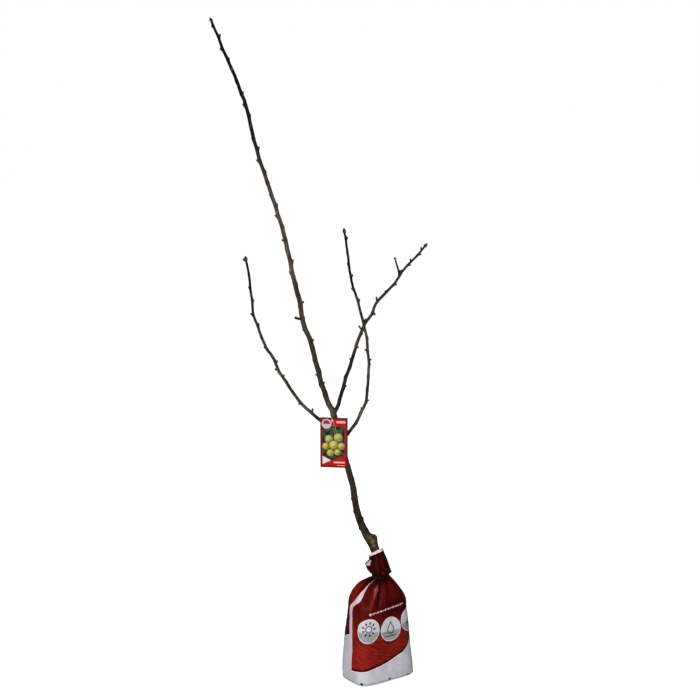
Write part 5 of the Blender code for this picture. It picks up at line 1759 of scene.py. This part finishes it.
def add_picture(look, colour, x, y):
    for middle_x, middle_y, half, turn in LEAVES:
        cosine, sine = math.cos(math.radians(turn)), math.sin(math.radians(turn))
        dx, dy = x - middle_x * MM, y - middle_y * MM
        along, across = dx * cosine + dy * sine, dy * cosine - dx * sine
        offset = 0.62 * half
        reach = math.hypot(half, offset)
        leaf = along.length(across - offset * MM).most(along.length(across + offset * MM)).below(reach * MM)
        blade = look.mix(across.from_to(-4 * MM, 4 * MM), *LEAF_GREENS)
        colour = look.mix(leaf, colour, blade)
        colour = look.mix(leaf * across.size().below(0.4 * MM), colour, RIB_GREEN)
    speckle = look.noise(look.place("card"), 420.0, detail=3.0).from_to(0.42, 0.62)
    for number, (middle_x, middle_y, radius) in enumerate(FRUITS):
        dx, dy = x - middle_x * MM, y - middle_y * MM
        away = dx.length(dy)
        lit = (dx + radius * 0.3 * MM).length(dy - radius * 0.35 * MM)
        warm = FRUIT_COLOURS[number % len(FRUIT_COLOURS)]
        skin = look.mix(lit.from_to(0.0, radius * 1.3 * MM), warm, FRUIT_SHADE)
        skin = look.mix(speckle * 0.35, skin, FRUIT_SPECKLE)
        colour = look.mix(away.below((radius + 1.4) * MM, 2 * MM), colour, FRUIT_OUTLINE)
        colour = look.mix(away.below(radius * MM, 0.6 * MM), colour, skin)
        calyx = (dx - 0.15 * radius * MM).length(dy + 0.2 * radius * MM).below(1.6 * MM, 1.2 * MM)
        colour = look.mix(calyx, colour, CALYX_BROWN)
    return colour


# The camera stands where the photo was taken from, and looks a little down
CAMERA_PLACE = (-0.074, -3.40, 1.44)
CAMERA_PITCH = math.radians(9.55)
FOCAL_SHARE = 1360 / 700
SENSOR = 36.0


def make_camera():
    data = bpy.data.cameras.new("camera")
    data.sensor_width = SENSOR
    data.lens = SENSOR * FOCAL_SHARE
    camera = bpy.data.objects.new("camera", data)
    camera.location = CAMERA_PLACE
    camera.rotation_euler = (math.pi / 2 - CAMERA_PITCH, 0, 0)
    bpy.context.scene.collection.objects.link(camera)
    bpy.context.scene.camera = camera


FLOOR_SIZE = 60.0
FLOOR_NEAR, FLOOR_FAR = 0.3, 1.5
FLOOR_NEAR_GLOW = 0.9
FLOOR_GREY, WHITE = (0.4, 0.4, 0.4, 1), (1, 1, 1, 1)


def is_camera_ray(tree):
    return Field(tree, tree.nodes.new("ShaderNodeLightPath").outputs["Is Camera Ray"])


def make_floor():
    """A plain pale floor that runs on into the pale background, and takes a faint shadow near the bag."""
    plane = bmesh.new()
    bmesh.ops.create_grid(plane, x_segments=1, y_segments=1, size=FLOOR_SIZE / 2)
    mesh = bpy.data.meshes.new("floor")
    plane.to_mesh(mesh)
    plane.free()
    floor = bpy.data.objects.new("floor", mesh)
    bpy.context.scene.collection.objects.link(floor)
    look = Look("floor_pale", 0.9, 0.0)
    x, y, _ = look.parts(look.tree.nodes.new("ShaderNodeNewGeometry").outputs["Position"])
    glow = x.length(y).from_to(FLOOR_NEAR, FLOOR_FAR) * (1.0 - FLOOR_NEAR_GLOW) + FLOOR_NEAR_GLOW
    look.shader.inputs["Base Color"].default_value = FLOOR_GREY
    look.shader.inputs["Emission Color"].default_value = WHITE
    look.tree.links.new((glow * is_camera_ray(look.tree)).socket, look.shader.inputs["Emission Strength"])
    mesh.materials.append(look.material)


SKY_LIGHT = 0.05


def make_world():
    """White behind the tree, and a dim room for what the tree itself receives."""
    world = bpy.data.worlds.new("studio")
    world.use_nodes = True
    tree = world.node_tree
    sky = tree.nodes["Background"]
    sky.inputs["Color"].default_value = WHITE
    tree.links.new((is_camera_ray(tree) * (1.0 - SKY_LIGHT) + SKY_LIGHT).socket, sky.inputs["Strength"])
    bpy.context.scene.world = world


def add_area(name, place, target, size, watts):
    data = bpy.data.lights.new(name, "AREA")
    data.shape = "DISK"
    data.size = size
    data.energy = watts
    lamp = bpy.data.objects.new(name, data)
    lamp.location = place
    lamp.rotation_euler = (Vector(target) - Vector(place)).to_track_quat("-Z", "Y").to_euler()
    bpy.context.scene.collection.objects.link(lamp)


# Each lamp: its name, place, what it faces, size in metres and watts
LAMPS = [
    ("key", (-0.8, -3.4, 1.15), (-0.1, 0, 0.6), 1.3, 125),
    ("fill", (1.8, -2.4, 1.9), (-0.1, 0, 0.7), 1.2, 11),
    ("back", (0.3, 2.7, 3.2), (-0.1, 0, 0.6), 1.3, 90),
]


def numbers(box):
    return [list(corner) for corner in box]


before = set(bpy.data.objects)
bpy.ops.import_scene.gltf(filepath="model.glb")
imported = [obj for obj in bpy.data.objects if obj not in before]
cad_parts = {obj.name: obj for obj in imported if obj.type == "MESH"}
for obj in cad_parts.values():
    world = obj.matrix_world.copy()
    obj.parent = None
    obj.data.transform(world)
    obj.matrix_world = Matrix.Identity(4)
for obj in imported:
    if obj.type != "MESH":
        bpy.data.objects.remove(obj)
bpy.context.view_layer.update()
bpy.context.scene.view_settings.view_transform = "Standard"
make_camera()
make_world()
make_floor()
for lamp in LAMPS:
    add_area(*lamp)
stem = make_limbs()
make_bag(stem)
make_root_ball()
make_tie()
make_label()
make_thread()
